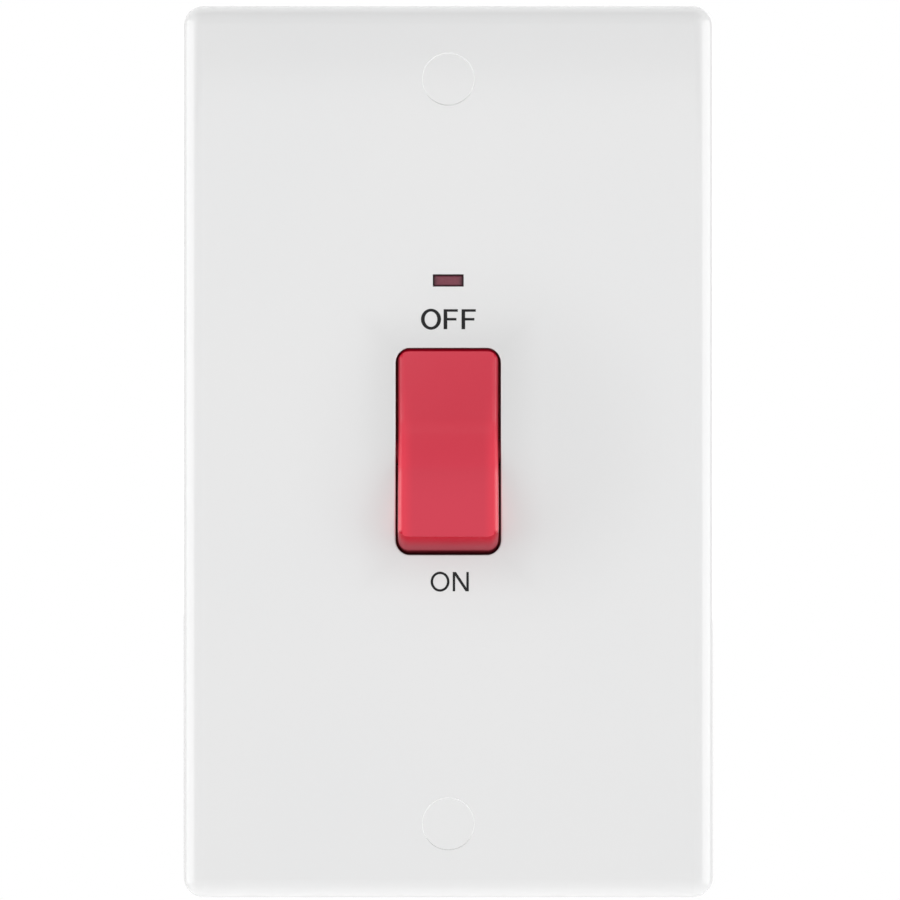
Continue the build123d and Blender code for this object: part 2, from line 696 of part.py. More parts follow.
# Base: a moulded block with two contact wells, terminal pockets and hollows in its back
core_width = base_screw_spacing_x - 2 * (base_head_hole_radius + core_web)
core_height = 2 * (pocket_start_z - core_web)
core_pitch_x = (core_width + core_web) / core_columns
core_pitch_z = (core_height + core_web) / core_rows
neck_half = strip_neck / 2 + pocket_fit
keeper_half_height = trunnion_radius + trunnion_clearance - keeper_play
driver_hole_radius = terminal_head_radius + driver_hole_play
with BuildPart() as switch_base:
    with BuildSketch(facing(base_back_y)):
        RectangleRounded(2 * base_half_width, 2 * base_half_height, base_wall)
    extrude(amount=base_back_y)
    fillet(switch_base.faces().sort_by(Axis.Y)[-1].edges(), base_edge_radius)
    # Contact wells, the strips' necks and the fronts of the terminal pockets
    with BuildSketch(facing(terminal_y)):
        for x in poles.values():
            hand = x / pole_x
            inner_x = hand * barrier_thickness / 2
            span((inner_x, hand * well_half_width), (-well_half_height, well_half_height))
            for up in sides.values():
                pocket_end = pocket_start_z + pocket_length
                outer_x = hand * (terminal_x + terminal_width / 2 + pocket_fit)
                span((inner_x, outer_x), (up * pocket_start_z, up * pocket_end))
                span((x - neck_half, x + neck_half), (up * well_half_height, up * pocket_start_z))
    extrude(amount=terminal_y, mode=Mode.SUBTRACT)
    with BuildSketch(facing(terminal_back_y)):
        with Locations(*terminal_spots.values()):
            Rectangle(terminal_width + 2 * pocket_fit, pocket_length)
    extrude(amount=terminal_back_y, mode=Mode.SUBTRACT)
    # Cable holes in the ends, and driver holes in the back
    for x, z in terminal_spots.values():
        with BuildSketch(Plane.XY.offset(z)):
            with Locations((x, bore_y)):
                Circle(terminal_bore_radius + cable_hole_play)
        extrude(amount=z / terminal_z * pocket_length, mode=Mode.SUBTRACT)
    with BuildSketch(facing(base_back_y)):
        with Locations(*terminal_spots.values()):
            Circle(driver_hole_radius)
    extrude(amount=base_back_wall, mode=Mode.SUBTRACT)
    # Earth pocket, open to the front, the side and the back
    with BuildSketch(facing(earth_back_y)):
        with Locations((earth_x, 0)):
            Rectangle(earth_length + 2 * pocket_fit, earth_width + 2 * pocket_fit)
    extrude(amount=earth_back_y, mode=Mode.SUBTRACT)
    with BuildSketch(Plane.YZ.offset(earth_x)):
        with Locations((earth_bore_y, 0)):
            Circle(earth_bore_radius + cable_hole_play)
    extrude(amount=base_half_width, mode=Mode.SUBTRACT)
    with BuildSketch(facing(base_back_y)):
        with Locations((earth_x, 0)):
            Circle(driver_hole_radius)
    extrude(amount=base_back_y - earth_back_y, mode=Mode.SUBTRACT)
    # Hollows that keep the moulding's walls even
    with BuildSketch(facing(base_back_y)):
        with GridLocations(core_pitch_x, core_pitch_z, core_columns, core_rows):
            RectangleRounded(core_pitch_x - core_web, core_pitch_z - core_web, core_web / 2)
    extrude(amount=base_back_y - terminal_y - core_floor, mode=Mode.SUBTRACT)
    # Screw holes with deep seats
    for back, front, radius in (
        (base_screw_seat, 0, base_screw_radius + base_screw_play),
        (base_back_y, base_screw_seat, base_head_hole_radius),
    ):
        with BuildSketch(facing(back)):
            with Locations(*post_spots):
                Circle(radius)
        extrude(amount=back - front, mode=Mode.SUBTRACT)
    # Keeper tongues that close the trunnion slots from behind
    with BuildSketch(facing(0)):
        with Locations(*[(x, 0) for x in mirrored(aperture_width / 2 + collar_wall / 2)]):
            Rectangle(collar_wall - 2 * keeper_side_gap, 2 * keeper_half_height)
    extrude(amount=-pivot_y)
    with BuildSketch(Plane.YZ):
        with Locations((pivot_y, 0)):
            Circle(trunnion_radius + trunnion_clearance)
    extrude(amount=collar_half_width, both=True, mode=Mode.SUBTRACT)
finish(switch_base, "switch_base")

# Base screws: thread-forming screws from the base's seats into the plate's posts
with BuildPart() as base_screws:
    for back, front, radius in (
        (base_screw_seat, -base_screw_grip, base_screw_radius),
        (base_screw_seat + base_screw_head_height, base_screw_seat, base_screw_head_radius),
    ):
        with BuildSketch(facing(back)):
            with Locations(*post_spots):
                Circle(radius)
        extrude(amount=back - front)
finish(base_screws, "base_screws")

# Indicator: a red lens in the window, a neon lamp clipped behind it, a resistor and leads
with BuildPart() as neon_lens:
    with BuildSketch(facing(wall_back_y)):
        with Locations((0, neon_height)):
            Rectangle(window_width - 2 * window_fit, window_height - 2 * window_fit)
    extrude(amount=wall_back_y - lens_front_y)
    fillet(neon_lens.faces().sort_by(Axis.Y)[0].edges(), lens_edge_radius)
    with BuildSketch(facing(wall_back_y)):
        with Locations((0, neon_height)):
            Rectangle(window_width + 2 * lens_flange, window_height + 2 * lens_flange_tall)
    extrude(amount=-lens_flange_thickness)
finish(neon_lens, "neon_lens")

with BuildPart() as neon_lamp:
    with BuildSketch(Plane.YZ):
        with Locations((lamp_y, neon_height)):
            Circle(lamp_radius)
    extrude(amount=lamp_length / 2, both=True)
    fillet(neon_lamp.edges().filter_by(GeomType.CIRCLE), lamp_radius / 2)
finish(neon_lamp, "neon_lamp")

resistor_x = lamp_length / 2 + lead_to_resistor
with BuildPart() as neon_resistor:
    with BuildSketch(Plane.YZ.offset(resistor_x)):
        with Locations((lamp_y, neon_height)):
            Circle(resistor_radius)
    extrude(amount=resistor_length)
    fillet(neon_resistor.edges().filter_by(GeomType.CIRCLE), resistor_radius / 2)
finish(neon_resistor, "neon_resistor")


def lead_route(start_x, end_x):
    """A lead that leaves the lamp's line sideways and curves back to the middle of a terminal's tab."""
    with BuildLine() as route:
        Spline(
            (start_x, lamp_y, neon_height),
            (end_x, strip_y, terminal_z),
            tangents=(Vector(end_x, 0, 0).normalized(), Vector(0, 1, 0)),
        )
    return route.line


with BuildLine() as short_lead:
    Line((lamp_length / 2, lamp_y, neon_height), (resistor_x, lamp_y, neon_height))
lead_lines = [
    short_lead.line,
    lead_route(resistor_x + resistor_length, terminal_x),
    lead_route(-lamp_length / 2, -terminal_x),
]
with BuildPart() as neon_leads:
    for line in lead_lines:
        with BuildSketch(Plane(origin=line @ 0, z_dir=line % 0)):
            Circle(lead_radius)
        sweep(path=line)
finish(neon_leads, "neon_leads")
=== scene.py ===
# %% [markdown]
# A cooker switch: a tall white plate with a red rocker, an indicator window, printed words and two
# flush screw caps, and behind it a base full of brass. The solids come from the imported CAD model.
# This script gives them their finishes, adds what is too fine for the solids, and lights the whole.
# Blender works in metres here, so the object's sizes are written in millimetres times MM.

# %% Load the frame
import json
import math

import bmesh
import bpy
import numpy as np
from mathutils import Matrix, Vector


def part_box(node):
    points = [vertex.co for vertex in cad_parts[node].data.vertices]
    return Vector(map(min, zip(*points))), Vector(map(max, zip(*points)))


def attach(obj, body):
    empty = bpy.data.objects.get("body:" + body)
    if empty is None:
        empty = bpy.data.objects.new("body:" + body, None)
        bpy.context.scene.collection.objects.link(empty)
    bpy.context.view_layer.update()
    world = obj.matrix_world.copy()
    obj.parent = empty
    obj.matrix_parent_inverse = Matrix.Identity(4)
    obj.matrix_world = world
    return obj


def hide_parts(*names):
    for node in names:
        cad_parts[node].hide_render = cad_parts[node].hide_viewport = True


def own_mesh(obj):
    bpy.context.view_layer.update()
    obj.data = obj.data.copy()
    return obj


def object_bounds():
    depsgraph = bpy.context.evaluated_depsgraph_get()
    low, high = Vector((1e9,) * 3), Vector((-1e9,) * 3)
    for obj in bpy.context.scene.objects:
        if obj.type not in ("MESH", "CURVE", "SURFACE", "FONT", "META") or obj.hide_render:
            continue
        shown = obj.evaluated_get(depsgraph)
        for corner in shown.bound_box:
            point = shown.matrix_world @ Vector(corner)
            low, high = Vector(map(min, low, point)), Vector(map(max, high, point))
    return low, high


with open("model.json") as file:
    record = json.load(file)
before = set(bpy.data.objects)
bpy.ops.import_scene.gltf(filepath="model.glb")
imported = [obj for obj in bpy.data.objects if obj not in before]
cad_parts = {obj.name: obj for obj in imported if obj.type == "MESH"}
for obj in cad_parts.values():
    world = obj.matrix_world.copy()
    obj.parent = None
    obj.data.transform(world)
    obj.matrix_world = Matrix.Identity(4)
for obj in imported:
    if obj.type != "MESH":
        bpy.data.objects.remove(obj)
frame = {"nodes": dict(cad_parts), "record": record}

cad_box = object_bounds()
nodes = frame["nodes"]
joints = {joint["name"]: joint for joint in frame["record"]["behaviour"]["joints"]}
MM = 0.001


def in_mm(corners):
    """The corners of a box in millimetres, rounded for printing."""
    return [[round(value / MM, 2) for value in corner] for corner in corners]


print("CAD nodes:", len(nodes), "joints:", len(joints), "box in mm:", in_mm(cad_box))

# %% [markdown]
# A finish is a tree of shader nodes. It could be wired node by node, but that is hard to read, and
# sums read best as ordinary sums. This class wraps one output socket of a tree, so that a line like
# 0.2 + 0.1 * haze adds the Math nodes by itself. One method makes every other kind of node: it sets
# the node's settings first, because they decide which sockets there are, and then gives each socket a
# value or a link. A Mix node has several sockets of one name, so its colour sockets go by number.

# %% A socket that can be used in sums

MIX_SHARE, MIX_FIRST, MIX_SECOND, MIX_COLOUR = 0, 6, 7, 2


class Signal:
    """One output socket of a shader tree. Sums of signals and numbers become Math nodes."""

    def __init__(self, tree, socket=None):
        self.tree = tree
        self.socket = socket

    def make(self, kind, settings=None, sockets=None, output=0):
        """Add a node: its settings first, then a value or a link for each of its sockets."""
        node = self.tree.nodes.new("ShaderNode" + kind)
        for name, value in (settings or {}).items():
            setattr(node, name, value)
        for name, value in (sockets or {}).items():
            if isinstance(value, Signal):
                self.tree.links.new(value.socket, node.inputs[name])
            else:
                node.inputs[name].default_value = value
        return Signal(self.tree, node.outputs[output] if node.outputs else None)

    def math(self, operation, *values):
        """One Math node on this signal and up to two more values."""
        return self.make("Math", {"operation": operation}, dict(enumerate((self, *values))))

    def __add__(self, other):
        return self.math("ADD", other)

    __radd__ = __add__

    def __mul__(self, other):
        return self.math("MULTIPLY", other)

    __rmul__ = __mul__

    def __sub__(self, other):
        return self.math("SUBTRACT", other)

    def __rsub__(self, other):
        return self.math("MULTIPLY_ADD", -1.0, other)

    def __abs__(self):
        return self.math("ABSOLUTE")

    def split(self):
        """The three numbers of a vector, as three signals."""
        first = self.make("SeparateXYZ", sockets={"Vector": self})
        return [Signal(self.tree, socket) for socket in first.socket.node.outputs]

    def step(self, low, high):
        """A soft step: 0 below the first value, 1 above the second, smooth between them."""
        band = {"Value": self, "From Min": low, "From Max": high}
        return self.make("MapRange", {"interpolation_type": "SMOOTHSTEP"}, band)

    def between(self, first, second):
        """A colour between two others: this signal is the share of the second."""
        colours = {MIX_SHARE: self, MIX_FIRST: first, MIX_SECOND: second}
        return self.make("Mix", {"data_type": "RGBA"}, colours, output=MIX_COLOUR)

    def noise(self, size, detail, stretch=None):
        """Noise whose lumps are about this many metres across, on this position."""
        place = self
        if stretch:
            place = self.make("VectorMath", {"operation": "MULTIPLY"}, {0: self, 1: stretch})
        return place.make("TexNoise", sockets={"Vector": place, "Scale": 1 / size, "Detail": detail})


print("Signal is ready")

# %% [markdown]
# Every finish starts from one Principled shader. What is the same all over the surface is set
# straight on its sockets. What changes over the surface is a signal made from Object coordinates,
# which are metres in the CAD frame, so that a pattern keeps its real size on every piece. Fine
# relief is a Bump node, and a Bevel node in front of it can round the sharp edges of a solid in the
# shading alone, with no change to its mesh.

# %% A new finish

BEVEL_SAMPLES = 4


def new_finish(name, **constants):
    """A material with these constants on its shader, and the position signal to build on."""
    material = bpy.data.materials.new(name)
    material.use_nodes = True
    tree = material.node_tree
    shader = tree.nodes["Principled BSDF"]
    for key, value in constants.items():
        shader.inputs[key.replace("_", " ")].default_value = value
    place = Signal(tree).make("TexCoord", output="Object")
    return material, shader, place


def feed(shader, **signals):
    """Link each signal to the shader's socket of that name."""
    for key, signal in signals.items():
        signal.tree.links.new(signal.socket, shader.inputs[key.replace("_", " ")])


def relief(height, depth, rounding=None):
    """A normal that makes this height signal look this many metres deep."""
    sockets = {"Height": height, "Distance": depth}
    if rounding:
        sockets["Normal"] = height.make("Bevel", {"samples": BEVEL_SAMPLES}, {"Radius": rounding})
    return height.make("Bump", sockets=sockets)


def grey(value):
    """A grey colour."""
    return (value, value, value, 1.0)


print("finish helpers are ready")

# %% [markdown]
# The plate is one moulding, but its finish differs from place to place: gloss on the face, painted
# shade in the slit round the rocker, tinted red as a painted reflection of the rocker, and a matt
# hollow behind, where ejector pins left shallow rings. The mesh could be split and given several
# materials. Here one material finds its places by position instead, with masks: signals that are 1 in
# a place, 0 outside it, and soft at the edge. A band is the pair of values between which a mask
# changes: the hollow's lies just in front of its floor, which is 6 mm from the wall.

# %% Places on the plate

FACE_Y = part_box("screw_cap_upper")[0].y
INSIDE_X, INSIDE_Z = 41.5 * MM, 71.0 * MM
INSIDE_BAND = (-6.3 * MM, -6.2 * MM)
SLIT_X, SLIT_Z = 8.9 * MM, 17.0 * MM
SLIT_BAND = (FACE_Y + 0.5 * MM, FACE_Y + 1.5 * MM)
EDGE_SOFT = 0.2 * MM
PIN_PITCH, PIN_RADIUS, PIN_LINE = 26.0 * MM, 2.4 * MM, 0.25 * MM


def within(x, z, half_width, half_height):
    """1 inside a rectangle about the plate's middle: the product of two soft steps."""
    narrow = 1 - abs(x).step(half_width, half_width + EDGE_SOFT)
    low = 1 - abs(z).step(half_height, half_height + EDGE_SOFT)
    return narrow * low


def distance(first, second):
    """The root of the sum of two squares."""
    return (first * first + second * second).math("SQRT")


def pin_rings(x, z):
    """Rings in a square pattern: a narrow band at the pins' radius, found by folding the position."""
    away = distance(x.math("PINGPONG", PIN_PITCH / 2), z.math("PINGPONG", PIN_PITCH / 2))
    inner = away.step(PIN_RADIUS - PIN_LINE, PIN_RADIUS)
    outer = away.step(PIN_RADIUS, PIN_RADIUS + PIN_LINE)
    return inner - outer


print("face at y", round(FACE_Y / MM, 2), "mm, slit", 2 * SLIT_X / MM, "by", 2 * SLIT_Z / MM, "mm")

# %% [markdown]
# A fine groove runs round each cap. Light soaks through the white plastic and comes out in the
# groove, more at its top and sides than at its foot. Subsurface scattering could show that, but in so
# fine a groove it takes many samples. A faint glow of the walls looks much the same and stays clean.

# %% Light in the caps' grooves

cap_low, cap_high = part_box("screw_cap_upper")
CAP_Z = (cap_low.z + cap_high.z) / 2
GROOVE_INNER, GROOVE_OUTER = (4.05 * MM, 4.10 * MM), (4.32 * MM, 4.42 * MM)
GROOVE_BAND = (FACE_Y + 0.03 * MM, FACE_Y + 0.12 * MM)
FOOT_BAND = (-3.6 * MM, -1.0 * MM)
FOOT_GLOW, GROOVE_GLOW = 0.11, 0.25


def groove_glow(x, y, z):
    """Grey by place: a ring about each cap's middle, dim below it and brighter above, else black."""
    away = distance(x, abs(z) - CAP_Z)
    ring = away.step(*GROOVE_INNER) * (1 - away.step(*GROOVE_OUTER))
    deep = y.step(*GROOVE_BAND) * (1 - y.step(*INSIDE_BAND))
    above = z - CAP_Z * z.math("SIGN")
    glow = above.step(*FOOT_BAND).between(grey(FOOT_GLOW), grey(GROOVE_GLOW))
    return (ring * deep).between(grey(0.0), glow)


print("grooves round the caps at z", round(CAP_Z / MM, 2), "mm above and below the middle")

# %% [markdown]
# The plate and the caps are white thermoset from a polished mould. Seen close, such a face isn't a
# perfect mirror: it has a faint orange peel, the powder's flow leaves a slight drift in colour, and
# handling leaves patches that are a little less shiny. Round the rocker it is painted greyer, which is
# painted shade. Each of these is noise or a mask at its own scale, so one tree holds them all.

# %% White mouldings

FLOW, HAZE, PEEL, GRIT = 35 * MM, 9 * MM, 0.9 * MM, 0.25 * MM
FLOW_BAND = (0.3, 0.7)
# Painted shade: the face is painted greyer close round the rocker.
ROCKER_SHADE_BAND, ROCKER_SHADE_GREY = (-1 * MM, 7 * MM), grey(0.73)
# Painted shade in the slit round the rocker, tinted as a painted red reflection of the rocker.
SLIT_SHADE_RED = (0.08, 0.03, 0.03, 1.0)
GLOSS, GLOSS_HAZE, INSIDE_ROUGH = 0.05, 0.04, 0.33
PEEL_HEIGHT, GRIT_HEIGHT, PIN_HEIGHT = 0.35, 2.0, 14.0
RELIEF_DEPTH = 0.004 * MM


def plate_finish(name, colour, drift):
    """White gloss, painted shade round the rocker and in the slit, and matt with pin rings inside."""
    material, shader, place = new_finish(name, IOR=1.6, Emission_Strength=1.0)
    x, y, z = place.split()
    white = place.noise(FLOW, detail=3.0).step(*FLOW_BAND).between(colour, drift)
    beside = (abs(x) - SLIT_X).math("MAXIMUM", abs(z) - SLIT_Z)
    # Painted shade: greyer close round the rocker.
    white = (1 - beside.step(*ROCKER_SHADE_BAND)).between(white, ROCKER_SHADE_GREY)
    # Painted shade deep in the slit, tinted as a painted red reflection of the rocker.
    slit = within(x, z, SLIT_X, SLIT_Z) * y.step(*SLIT_BAND)
    feed(shader, Base_Color=slit.between(white, SLIT_SHADE_RED), Emission_Color=groove_glow(x, y, z))
    inside = within(x, z, INSIDE_X, INSIDE_Z) * y.step(*INSIDE_BAND)
    feed(shader, Roughness=GLOSS + GLOSS_HAZE * place.noise(HAZE, detail=4.0) + inside * INSIDE_ROUGH)
    peel = place.noise(PEEL, detail=1.0) * PEEL_HEIGHT
    grit = place.noise(GRIT, detail=2.0) * GRIT_HEIGHT - PIN_HEIGHT * pin_rings(x, z)
    feed(shader, Normal=relief(peel * (1 - inside) + inside * grit, RELIEF_DEPTH))
    return material


plate_white = plate_finish("plate_white", grey(0.79), (0.783, 0.785, 0.787, 1.0))
cap_white = plate_finish("cap_white", grey(0.792), (0.787, 0.788, 0.788, 1.0))
print("white mouldings:", plate_white.name, cap_white.name)

# %% [markdown]
# The rocker turns, so places on it are best measured in its own directions: along its face from the
# dip in the middle, and down from the face. At rest it is turned by half of its travel, and two sums
# with the sine and cosine of that angle give both. Its ends, which turn in the aperture, lie far along
# and below the face.

# %% Places on the rocker

AXIS_Y = joints["rocker_tilt"]["pos_m"][1]
HALF_TRAVEL = math.radians(joints["rocker_tilt"]["range_deg"][1] / 2)
DIP_HEIGHT = 6.07 * MM
END_BAND, CREST_BAND = (13.9 * MM, 14.6 * MM), (0.0, 0.08 * MM)


def rocker_places(y, z):
    """Distance along the face from the dip, depth below the face, and a mask for the two ends."""
    back = y - AXIS_Y
    out = math.sin(HALF_TRAVEL) * z - math.cos(HALF_TRAVEL) * back
    along = abs(math.cos(HALF_TRAVEL) * z + math.sin(HALF_TRAVEL) * back)
    depth = DIP_HEIGHT + math.tan(HALF_TRAVEL) * along - out
    ends = along.step(*END_BAND) * depth.step(*CREST_BAND)
    return along, depth, ends


print("rocker turns about y", round(AXIS_Y / MM, 2), "mm, half travel", round(HALF_TRAVEL, 4))

# %% [markdown]
# The rocker is a red moulding. Its lower half and its lower sides are painted a brighter red, which
# is painted light. The ends are satin, and their red is painted shade: a dark line just under the crest,
# darker below it, and nearly black deep in the aperture. The face is polished. One layer of low
# roughness would give sharp reflections only, but a clear coat over a rougher red gives a sharp and a
# soft one together. The coat is full on the face, and thin on the ends, in the dip and on the upper
# sides, which are hard to polish.

# %% Red moulding

RED, RED_DRIFT = (0.64, 0.050, 0.080, 1.0), (0.62, 0.046, 0.075, 1.0)
# Painted light: a brighter red for the lower half and the lower sides.
RED_LOWER_LIT, RED_SIDES_LIT = (0.69, 0.058, 0.094, 1.0), (0.84, 0.060, 0.095, 1.0)
# Painted shade on the ends: a dark line under the crest, darker below, nearly black deep in the
# aperture.
END_CREST_SHADE, END_SHADE_BELOW = (0.525, 0.002, 0.022, 1.0), (0.41, 0.037, 0.060, 1.0)
END_DEEP_SHADE = (0.10, 0.006, 0.010, 1.0)
LOWER_BAND, DIP_BAND = (-9 * MM, 5 * MM), (3.2 * MM, 4.6 * MM)
SIDE_BAND, SIDE_FADE = (5.4 * MM, 7.8 * MM), (-6 * MM, 13 * MM)
WALL_BAND, UPPER_BAND = (6.4 * MM, 7.2 * MM), (2 * MM, 9 * MM)
END_SHADE_BAND, DEEP_SHADE_BAND = (0.3 * MM, 3.5 * MM), (4.2 * MM, 5.0 * MM)
COAT_LOST_ENDS, COAT_LOST_DIP, COAT_LOST_SIDES = 0.9, 0.8, 0.6
COAT_LEAST, RED_ROUGH, HAZE_ROUGH, END_ROUGH = 0.9, 0.3, 0.1, 0.1


def rocker_colour(place, x, z, depth, ends):
    """Red by place: painted light low down and along the lower sides, and painted shade on the ends."""
    red = place.noise(FLOW, detail=3.0).step(*FLOW_BAND).between(RED, RED_DRIFT)
    # Painted light: brighter red on the lower half, then along the lower sides.
    red = z.step(*LOWER_BAND).between(RED_LOWER_LIT, red)
    sides = abs(x).step(*SIDE_BAND) * (1 - z.step(*SIDE_FADE))
    red = sides.between(red, RED_SIDES_LIT)
    # Painted shade on the ends, darkest deep in the aperture.
    shaded_ends = depth.step(*END_SHADE_BAND).between(END_CREST_SHADE, END_SHADE_BELOW)
    shaded_ends = depth.step(*DEEP_SHADE_BAND).between(shaded_ends, END_DEEP_SHADE)
    return ends.between(red, shaded_ends)


def rocker_finish():
    """Red under a clear coat that is thin on the ends, in the dip and on the upper sides."""
    material, shader, place = new_finish("rocker_red", IOR=1.25, Coat_IOR=1.5, Coat_Roughness=0.07)
    x, y, z = place.split()
    along, depth, ends = rocker_places(y, z)
    feed(shader, Base_Color=rocker_colour(place, x, z, depth, ends))
    dip = 1 - along.step(*DIP_BAND)
    upper_sides = abs(x).step(*WALL_BAND) * z.step(*UPPER_BAND)
    polish = (1 - COAT_LOST_ENDS * ends) * (1 - COAT_LOST_DIP * dip)
    polish = polish * (1 - COAT_LOST_SIDES * upper_sides)
    haze = place.noise(HAZE, detail=4.0)
    feed(shader, Coat_Weight=polish * (COAT_LEAST + (1 - COAT_LEAST) * haze))
    feed(shader, Roughness=RED_ROUGH + HAZE_ROUGH * haze + END_ROUGH * ends)
    feed(shader, Normal=relief(place.noise(PEEL, detail=1.0) * PEEL_HEIGHT, RELIEF_DEPTH))
    return material


rocker_red = rocker_finish()
print("red moulding:", rocker_red.name)

# %% [markdown]
# The base behind the plate is never seen in use, so its mould is spark-eroded: a fine, even, matt
# grain. Noise would be too cloudy for it, so a Voronoi texture gives its beads as relief. The base is a
# warmer white, slightly mottled, because the powder is filled to stand the heat. A narrow strip of it
# shows through the slit round the rocker, and a mask paints it red: a painted reflection of the rocker.

# %% Matt mouldings

STRIP_X, STRIP_Z, STRIP_BAND = 7.4 * MM, 15.4 * MM, (5 * MM, 6 * MM)
# Painted reflection: the rocker's red, painted on the strip that shows through the slit.
ROCKER_RED_REFLECTION = (0.6, 0.05, 0.05, 1.0)
SPOTS, CLOUDS, SPOT_SHARE = 2.5 * MM, 18 * MM, 0.6
MOTTLE_BAND, MOTTLE_ROUGH = (0.35, 0.65), 0.15
GRAIN_DEPTH, MOULDED_EDGE = 0.05, 0.15 * MM


def matt_moulding(name, colour, drift, grain, rough):
    """Two sizes of mottle, a beaded grain of this size in metres, and a painted red reflection below the
    slit.
    """
    material, shader, place = new_finish(name, IOR=1.5)
    x, y, z = place.split()
    spots, clouds = place.noise(SPOTS, detail=4.0), place.noise(CLOUDS, detail=2.0)
    mottle = spots * SPOT_SHARE + clouds * (1 - SPOT_SHARE)
    strip = within(x, z, SLIT_X, SLIT_Z) - within(x, z, STRIP_X, STRIP_Z)
    # Painted reflection: the rocker's red on the strip below the slit.
    rocker_reflection = strip * (1 - y.step(*STRIP_BAND))
    clean = mottle.step(*MOTTLE_BAND).between(colour, drift)
    feed(shader, Base_Color=rocker_reflection.between(clean, ROCKER_RED_REFLECTION))
    feed(shader, Roughness=rough + MOTTLE_ROUGH * mottle)
    bead = place.make("TexVoronoi", {"feature": "SMOOTH_F1"}, {"Vector": place, "Scale": 1 / grain})
    feed(shader, Normal=relief(bead, GRAIN_DEPTH * grain, MOULDED_EDGE))
    return material


base_ivory = matt_moulding(
    "base_ivory", (0.68, 0.66, 0.60, 1.0), (0.65, 0.63, 0.57, 1.0), grain=0.3 * MM, rough=0.42
)
plunger_nylon = matt_moulding(
    "plunger_nylon", (0.80, 0.78, 0.70, 1.0), (0.76, 0.74, 0.66, 1.0), grain=0.2 * MM, rough=0.32
)
print("matt mouldings:", base_ivory.name, plunger_nylon.name)

# %% [markdown]
# Metals take their look from how they were worked. Blanked strip and drawn wire carry long scratches
# along one direction, turned screws carry fine marks all ways, and every bare piece is tarnished in
# soft patches. The shader's own anisotropy could stretch the highlights, but noise stretched along an
# axis also shows the scratches themselves. One row of a table for each metal makes them easy to compare.

# %% Worked metals

TARNISH, TARNISH_BAND, SCRATCH = 3.0 * MM, (0.38, 0.68), 0.25 * MM
SCRATCH_DEPTH, WORKED_EDGE = 0.006 * MM, 0.12 * MM
PATCH_SHARE, PATCH_ROUGH, SCRATCH_ROUGH = 0.7, 0.16, 0.14
ALONG_X, ALONG_Y, ALONG_Z = (0.06, 1.0, 1.0), (1.0, 0.06, 1.0), (1.0, 1.0, 0.06)
ALL_WAYS = (1.0, 1.0, 1.0)


def worked_metal(name, colour, tarnish, rough, stretch):
    """Bare metal: tarnish in patches, and scratches drawn out by the stretch."""
    material, shader, place = new_finish(name, Metallic=1.0)
    patch = place.noise(TARNISH, detail=4.0).step(*TARNISH_BAND)
    lines = place.noise(SCRATCH, detail=3.0, stretch=stretch)
    dull = patch * PATCH_SHARE + lines * (1 - PATCH_SHARE)
    feed(shader, Base_Color=dull.between(colour, tarnish))
    feed(shader, Roughness=rough + PATCH_ROUGH * patch + SCRATCH_ROUGH * lines)
    feed(shader, Normal=relief(lines, SCRATCH_DEPTH, WORKED_EDGE))
    return material


METALS = (
    ("strip_brass", (0.80, 0.60, 0.28, 1.0), (0.60, 0.42, 0.18, 1.0), 0.22, ALONG_Z),
    ("block_brass", (0.78, 0.57, 0.26, 1.0), (0.58, 0.40, 0.17, 1.0), 0.26, ALONG_X),
    ("screw_brass", (0.80, 0.60, 0.30, 1.0), (0.62, 0.44, 0.20, 1.0), 0.24, ALL_WAYS),
    ("plated_steel", (0.70, 0.71, 0.70, 1.0), (0.56, 0.57, 0.58, 1.0), 0.22, ALONG_Y),
    ("spring_steel", (0.60, 0.60, 0.60, 1.0), (0.46, 0.46, 0.47, 1.0), 0.25, ALONG_Y),
    ("contact_copper", (0.85, 0.48, 0.33, 1.0), (0.62, 0.30, 0.19, 1.0), 0.24, ALONG_Z),
    ("contact_silver", (0.90, 0.89, 0.86, 1.0), (0.72, 0.70, 0.66, 1.0), 0.18, ALL_WAYS),
    ("lead_tin", (0.78, 0.76, 0.73, 1.0), (0.64, 0.60, 0.56, 1.0), 0.26, ALONG_X),
)
metals = {row[0]: worked_metal(*row) for row in METALS}
print("metals:", list(metals))

# %% [markdown]
# The indicator is a dark red lens, unlit. What shows is mostly the white room reflected in it, over a
# red with painted light in the middle, where the lamp's glass lies behind, and painted shade that makes
# its rim nearly black.
# Real transparency would show almost nothing behind so dark a lens, so its colour is painted.

# %% Lens

lens_low, lens_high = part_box("neon_lens")
LENS_Z = (lens_low.z + lens_high.z) / 2
# Painted shade for the rim and painted light for the middle; the cloud is the lens's own uneven tone.
LENS_CLOUD_AND_RIM_SHADE, LENS_MIDDLE_LIT = (0.035, 0.012, 0.018, 1.0), (0.205, 0.042, 0.066, 1.0)
RIM_X, RIM_Z, CLOUD = (1.5 * MM, 2.5 * MM), (0.45 * MM, 0.95 * MM), 0.7 * MM
RIM_SHADE_SHARE, CLOUD_SHARE = 0.85, 0.25
PRISM, PRISM_SHARE, PRISM_DEPTH = 0.25 * MM, 0.5, 0.02 * MM


def lens_finish():
    """Dark red with painted light in the middle and painted shade at the rim, and fine upright prisms: a
    zigzag of the place across.
    """
    material, shader, place = new_finish("lens_red", IOR=1.5, Roughness=0.16)
    x, _, z = place.split()
    # Painted shade at the rim, and the lens's own uneven cloud.
    rim = abs(x).step(*RIM_X).math("MAXIMUM", abs(z - LENS_Z).step(*RIM_Z))
    cloud = place.noise(CLOUD, detail=3.0)
    dark = rim * RIM_SHADE_SHARE + cloud * CLOUD_SHARE
    feed(shader, Base_Color=dark.between(LENS_MIDDLE_LIT, LENS_CLOUD_AND_RIM_SHADE))
    prism = x.math("PINGPONG", PRISM) * (1 / PRISM)
    feed(shader, Normal=relief(prism * PRISM_SHARE + cloud, PRISM_DEPTH))
    return material


lens_red = lens_finish()
print("lens:", lens_red.name, "at z", round(LENS_Z / MM, 2), "mm")

